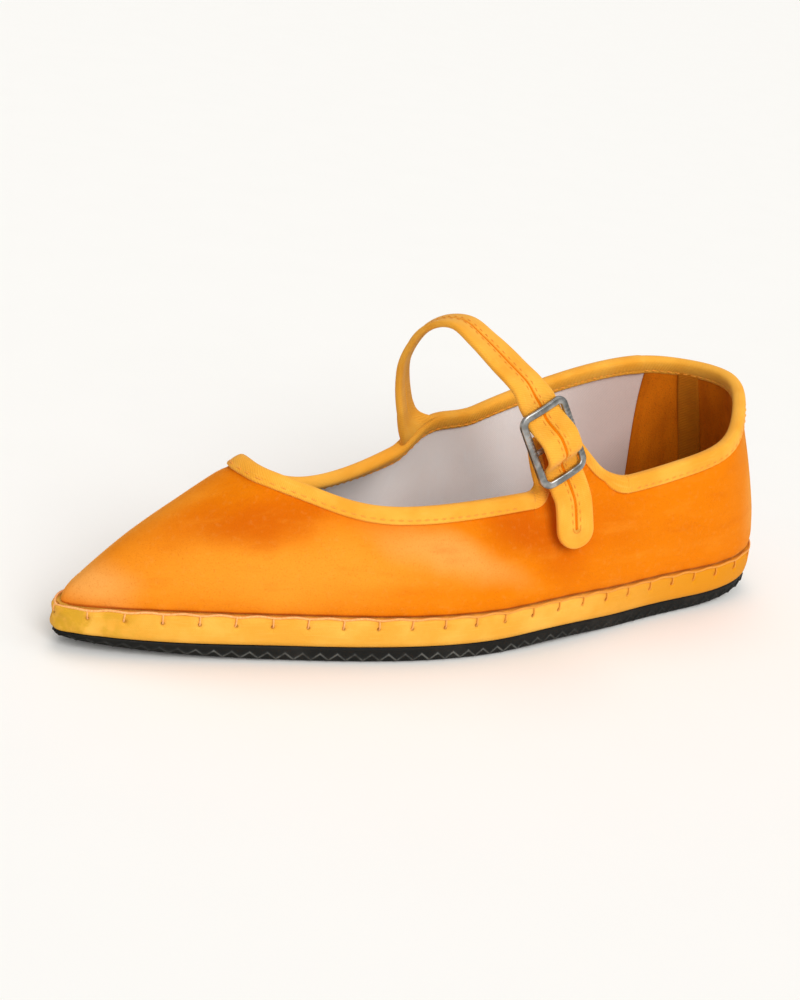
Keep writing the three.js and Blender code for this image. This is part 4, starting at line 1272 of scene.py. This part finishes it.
def tab_middle(back, climb):
    """The tab's middle sheet: back runs from its front edge to its rear, climb from the collar to its top."""
    back, climb = np.broadcast_arrays(np.asarray(back, float), np.asarray(climb, float))
    t = TAB_FRONT + tab_span * back
    upward = unit(wall_point(t, 1.0) - wall_point(t, 0.98))
    low = binding_top(t)
    high = tab_top + seat_across * (TAB_TOP_WIDTH * (0.5 - back))[..., None]
    bend = low + (high - low) * 0.45
    bend[..., 0] = low[..., 0] + (high[..., 0] - low[..., 0]) * 0.75
    bend = 0.6 * bend + 0.4 * (low + upward * 9)
    c = np.maximum(climb, 0)[..., None]
    risen = (1 - c) ** 2 * low + 2 * c * (1 - c) * bend + c**2 * high
    # Below the collar's edge the sheet goes on down the wall.
    sunk = np.maximum(0, -climb) * TAB_HEIGHT - GAP - BINDING_THICK
    v = np.clip(1 - np.maximum(0, sunk) / (3 * run_down(t)), 0, 1)
    on_wall = shell_point(t, v, np.full(t.shape, -WALL / 2)) + upward * np.maximum(0, -sunk)[..., None]
    return np.where((climb < 0)[..., None], on_wall, risen)


def tab_normal(back, climb):
    back, climb = np.asarray(back, float), np.asarray(climb, float)
    rearward = tab_middle(back + 0.02, climb) - tab_middle(back - 0.02, climb)
    upward = tab_middle(back, climb + 0.04) - tab_middle(back, climb - 0.04)
    return unit(np.cross(rearward, upward))


climbs = np.linspace(0, 1, 30)
tab_widths = np.linalg.norm(tab_middle(1.0, climbs) - tab_middle(0.0, climbs), axis=1)


def half_width(up):
    return np.interp(np.maximum(up, 0) / TAB_HEIGHT, climbs, tab_widths) / 2


def tab_point(rear, up, lift):
    """A point of the tab: rear of its middle line, up from the collar, lift off its middle sheet."""
    back, climb = 0.5 + rear / (2 * half_width(up)), up / TAB_HEIGHT
    return tab_middle(back, climb) + tab_normal(back, climb) * np.asarray(lift)[..., None]


columns, tab_rows = 44, 44
ups = np.linspace(-TAB_SINK, TAB_HEIGHT - EDGE_COVER, tab_rows)
share = np.linspace(0, 1, columns)
corner_share = np.clip(1 + (ups - TAB_HEIGHT) / TAB_CORNER, 0, 1)
cut_in = EDGE_COVER + TAB_CORNER * (1 - np.sqrt(1 - corner_share**2))
front_side = -half_width(ups) - fillet_reach(ups, FRONT_FILLET, FRONT_CLIMB) + cut_in
rear_side = half_width(ups) + fillet_reach(ups, REAR_FILLET, REAR_CLIMB) - cut_in
R = front_side[:, None] * (1 - share) + rear_side[:, None] * share
U = np.repeat(ups[:, None], columns, axis=1)
thick = np.interp(U, *zip(*TAB_PROFILE))
points = np.concatenate([tab_point(R, U, thick).reshape(-1, 3), tab_point(R, U, -thick).reshape(-1, 3)])
cloth = np.stack([R + 320, U + 32], -1).reshape(-1, 2)
tab_velvet = make_piece("tab_velvet", points, sheet_faces(tab_rows, columns), np.concatenate([cloth, cloth]))
fit(tab_velvet, velvet, "velvet", "buckle_tab")

# Tab tape: the collar's own tape, carried on in one length up the tab, across its top and down its front.
# At the two feet it is as wide and thick as on the collar; on the tab it is thinner, over a thinner edge.
TAB_TAPE_COVER = 4.2
TAB_TAPE_HALF = 1.15
COLLAR_TAPE_COVER = 5.7
COLLAR_TAPE_HALF = 2.2
# Here the distance in from the edge is a share of the tape's cover.
TAB_FOLD = folded([
    (1.0, 0.5),
    (0.99, 0.84),
    (0.9, 0.93),
    (0.8, 0.9),
    (0.66, 0.97),
    (0.4, 1.0),
    (0.22, 0.96),
    (0.08, 0.7),
    (0.0, 0.25),
])
quarter = np.linspace(0, np.pi / 2, 26)
between_corners = np.linspace(0, 1, 30)[1:-1]


def tab_side(along, high):
    """One side of the tab's edge: from out along the collar, up in a fillet, to the corner at the top."""
    climb = high * (1 - np.cos(quarter))
    foot = np.stack([half_width(climb) + along * (1 - np.sin(quarter)), climb], -1)
    straight = high + (TAB_HEIGHT - TAB_CORNER - high) * between_corners
    line = np.stack([half_width(straight), straight], -1)
    rounded = TAB_HEIGHT - TAB_CORNER * (1 - np.sin(quarter))
    turn = np.stack([half_width(rounded) - TAB_CORNER * (1 - np.cos(quarter)), rounded], -1)
    return np.concatenate([foot, line, turn])


rear_limb, front_limb = tab_side(REAR_FILLET, REAR_CLIMB), tab_side(FRONT_FILLET, FRONT_CLIMB)
tab_edge = np.concatenate([rear_limb, front_limb[::-1] * (-1, 1)])
way = way_along(tab_edge)
even = np.linspace(0, way[-1], 190)
tab_edge = np.stack([np.interp(even, way, tab_edge[:, k]) for k in range(2)], -1)
ahead = unit(np.gradient(tab_edge, axis=0))
inward = np.stack([-ahead[:, 1], ahead[:, 0]], -1)
on_tab = eased(even, 1.0, 15.0) * eased(way[-1] - even, 0.5, 6.0)
cover = COLLAR_TAPE_COVER + (TAB_TAPE_COVER - COLLAR_TAPE_COVER) * on_tab
half_thick = COLLAR_TAPE_HALF + (TAB_TAPE_HALF - COLLAR_TAPE_HALF) * on_tab
loops, cloth = [], []
for inset, lift in TAB_FOLD:
    spot = tab_edge + inward * (inset * cover)[:, None]
    loops.append(tab_point(spot[:, 0], spot[:, 1], lift * half_thick))
    cloth.append(np.stack([even, np.full(len(even), 90 + 5 * inset * np.sign(lift))], -1))
faces = [face[::-1] for face in strip_faces(len(loops), len(even))]
tab_tape = make_piece("tab_tape", np.concatenate(loops), faces, np.concatenate(cloth))
fit(tab_tape, binding_tape, "binding_tape")

# Buckle: a slide buckle cast in zinc and plated in satin nickel, a flat frame with a bar across its middle.
# The tab is sewn round the middle bar, and the strap is threaded under, over and under the three bars.
BUCKLE_WIDTH = 18.2
BUCKLE_BOW = 0.7
FRAME_CORNER = 2.6
MIDDLE_BAR = (0.95, 0.7)
half_x = (BUCKLE_WIDTH - BUCKLE_BAR) / 2
half_y = (BUCKLE_LENGTH - BUCKLE_BAR) / 2
path, sideways = [], []
for corner_x, corner_y, start in ((1, 1, 0), (-1, 1, 90), (-1, -1, 180), (1, -1, 270)):
    middle = np.array([corner_x * (half_x - FRAME_CORNER), corner_y * (half_y - FRAME_CORNER)])
    for angle in np.radians(np.linspace(start, start + 90, 12)):
        direction = np.array([math.cos(angle), math.sin(angle)])
        path.append(middle + FRAME_CORNER * direction)
        sideways.append(direction)
path, sideways = np.array(path), np.array(sideways)
dense_path, dense_side = [], []
for p, q, a, b in zip(path, np.roll(path, -1, 0), sideways, np.roll(sideways, -1, 0)):
    steps = max(1, int(np.linalg.norm(q - p) / 0.3))
    for k in range(steps):
        dense_path.append(p + (q - p) * k / steps)
        dense_side.append(unit(a + (b - a) * k / steps))
dense_path, dense_side = np.array(dense_path), np.array(dense_side)


def on_buckle(x, y, z):
    """From the buckle's own plane, a little bowed across, to the shoe."""
    bowed = z + BUCKLE_BOW * (0.5 - (x / half_x) ** 2)
    return BUCKLE_AT + x[..., None] * seat_across - y[..., None] * seat_forward + bowed[..., None] * seat_face


# The frame's bars are rounded oblongs, finely ridged along the two sides.
turn = np.linspace(0, 2 * np.pi, 20, endpoint=False)
bar_out = BUCKLE_BAR / 2 * np.sign(np.cos(turn)) * np.abs(np.cos(turn)) ** 0.55
bar_up = BUCKLE_THICK / 2 * np.sign(np.sin(turn)) * np.abs(np.sin(turn)) ** 0.6
on_side = np.clip((half_y - FRAME_CORNER - np.abs(dense_path[:, 1])) / 1.5, 0, 1)
ridges = 1 + 0.07 * np.sin(2 * np.pi * dense_path[:, 1] / 1.3) * on_side
outline_x = dense_path[:, 0, None] + dense_side[:, 0, None] * bar_out
outline_y = dense_path[:, 1, None] + dense_side[:, 1, None] * bar_out
frame_points = on_buckle(outline_x, outline_y, ridges[:, None] * bar_up).reshape(-1, 3)
frame_faces = tube_faces(len(dense_path), len(turn), closed=True)
bar_x, bar_turn = np.meshgrid(np.linspace(-half_x - 0.2, half_x + 0.2, 40), turn, indexing="ij")
bar = on_buckle(bar_x, MIDDLE_BAR[0] * np.cos(bar_turn), MIDDLE_BAR[1] * np.sin(bar_turn))
bar_faces = [face[::-1] for face in tube_faces(*bar.shape[:2])]
buckle = make_piece("slide_buckle", *gather([(frame_points, frame_faces), (bar.reshape(-1, 3), bar_faces)]))
nickel = new_finish("satin_nickel", {"Metallic": 1.0})
place = in_space(nickel)
brushed = mottle(stretch(place, (1.0, 1.0, 0.12)), 2600.0, 3.0)
tarnish = mottle(place, 300.0, 4.0)
colour = blend(spread(tarnish, 0.35, 0.7), (0.22, 0.22, 0.21, 1), (0.48, 0.475, 0.46, 1))
dress(nickel, colour, spread(brushed, 0.2, 0.8, 0.26, 0.46), raised(brushed, 0.03, 0.5))
fit(buckle, nickel, "buckle_metal", "buckle")

# Press stud: a small nickel-plated socket pressed through the tab's lining side, under the buckle.
# It is stamped from sheet, with a rolled rim and a sunk middle.
STUD_PLACE = (0.45, 0.5)
STUD_SIDES = 48
STUD_MIDDLE = 0.75
# The stamped profile: distance from the middle, height over the tab's face.
STUD_PROFILE = [
    (0.7, 0.72),
    (1.15, 0.55),
    (1.5, 0.62),
    (2.3, 0.66),
    (2.7, 1.05),
    (3.2, 1.45),
    (3.75, 1.5),
    (4.2, 1.25),
    (4.45, 0.8),
    (4.5, 0.3),
    (4.3, 0.0),
]
stud_out = -tab_normal(*STUD_PLACE)
stud_side = unit(np.cross(stud_out, [0.0, 0.0, 1.0]))
stud_up = np.cross(stud_side, stud_out)
stud_base = tab_middle(*STUD_PLACE) + stud_out * (TAB_THICK / 2 + 2 * GAP - 0.45)
turn = np.linspace(0, 2 * np.pi, STUD_SIDES, endpoint=False)
ring = np.cos(turn)[:, None] * stud_side + np.sin(turn)[:, None] * stud_up
loops = [stud_base + reach * ring + stud_out * high for reach, high in STUD_PROFILE]
points = np.concatenate([*loops, [stud_base + stud_out * STUD_MIDDLE], [stud_base]])
faces = hoop_faces(len(loops), STUD_SIDES)
top, bottom = len(points) - 2, len(points) - 1
rim = (len(loops) - 1) * STUD_SIDES
for i in range(STUD_SIDES):
    j = (i + 1) % STUD_SIDES
    faces.append((top, j, i))
    faces.append((bottom, rim + i, rim + j))
press_stud = make_piece("press_stud", points, faces)
fit(press_stud, nickel, "buckle_metal", "snap")

# Floor and light: a plain pale sheet of studio paper, with soft light all round it.
# A broad key stands in front on the outer side, a weak light at the heel's side and one overhead from behind.
FLOOR_SIZE = 24.0
SURROUND = 0.40
# Broad lights: name, direction the light comes from, strength, spread in degrees.
LIGHTS = [
    ("front_key", (0.16, 0.80, 0.58), 2.1, 40),
    ("heel_side", (-0.50, 0.45, 0.74), 0.30, 40),
    ("overhead_behind", (-0.15, -0.34, 0.93), 0.55, 35),
]
bpy.ops.mesh.primitive_plane_add(size=FLOOR_SIZE, location=(0, 0, 0))
floor = bpy.context.object
floor.name = "studio_floor"
paper = new_finish("pale_studio_paper", {"Specular IOR Level": 0.1})
fibre = mottle(in_space(paper), 30.0, 2.0)
colour = blend(fibre, (0.955, 0.94, 0.905, 1), (0.965, 0.95, 0.915, 1))
dress(paper, colour, spread(fibre, 0.2, 0.8, 0.9, 1.0), raised(fibre, 0.01, 0.1))
floor.data.materials.append(paper)

world = bpy.data.worlds.new("studio")
bpy.context.scene.world = world
world.use_nodes = True
surround = world.node_tree.nodes["Background"].inputs
surround["Color"].default_value = (1.0, 1.0, 1.0, 1)
surround["Strength"].default_value = SURROUND
for name, source, strength, spread_angle in LIGHTS:
    lamp = bpy.data.lights.new(name, "SUN")
    lamp.energy = strength
    lamp.angle = math.radians(spread_angle)
    holder = bpy.data.objects.new(name, lamp)
    holder.rotation_euler = Vector(source).to_track_quat("Z", "Y").to_euler()
    bpy.context.scene.collection.objects.link(holder)
bpy.context.scene.view_settings.view_transform = "Standard"

# Camera: it stands in front of the toe on the outer side, a little above, and is rolled as the picture is.
# It looks at the middle of the shoe, and is then turned a little so that the shoe is centred in the frame.
CAMERA_ROUND = math.radians(38.05)
CAMERA_UP = math.radians(21.96)
CAMERA_ROLL = math.radians(9.37)
CAMERA_AWAY = 0.5588
LOOK_HEIGHT = 0.0263
TURN_RIGHT = 0.0228
TURN_ABOVE = -0.0163
LENS_LENGTH = 62.9
plan_away = math.cos(CAMERA_UP)
back = Vector((math.sin(CAMERA_ROUND) * plan_away, math.cos(CAMERA_ROUND) * plan_away, math.sin(CAMERA_UP)))
level = (-back).cross(Vector((0, 0, 1))).normalized()
upright = level.cross(-back)
right = level * math.cos(CAMERA_ROLL) + upright * math.sin(CAMERA_ROLL)
above = upright * math.cos(CAMERA_ROLL) - level * math.sin(CAMERA_ROLL)
eye = back * CAMERA_AWAY + Vector((0, 0, LOOK_HEIGHT))
back = (back + right * TURN_RIGHT + above * TURN_ABOVE).normalized()
right = above.cross(back).normalized()
above = back.cross(right)
lens = bpy.data.cameras.new("camera")
lens.lens = LENS_LENGTH
camera = bpy.data.objects.new("camera", lens)
camera.matrix_world = Matrix((
    (right.x, above.x, back.x, eye.x),
    (right.y, above.y, back.y, eye.y),
    (right.z, above.z, back.z, eye.z),
    (0, 0, 0, 1),
))
bpy.context.scene.collection.objects.link(camera)
bpy.context.scene.camera = camera
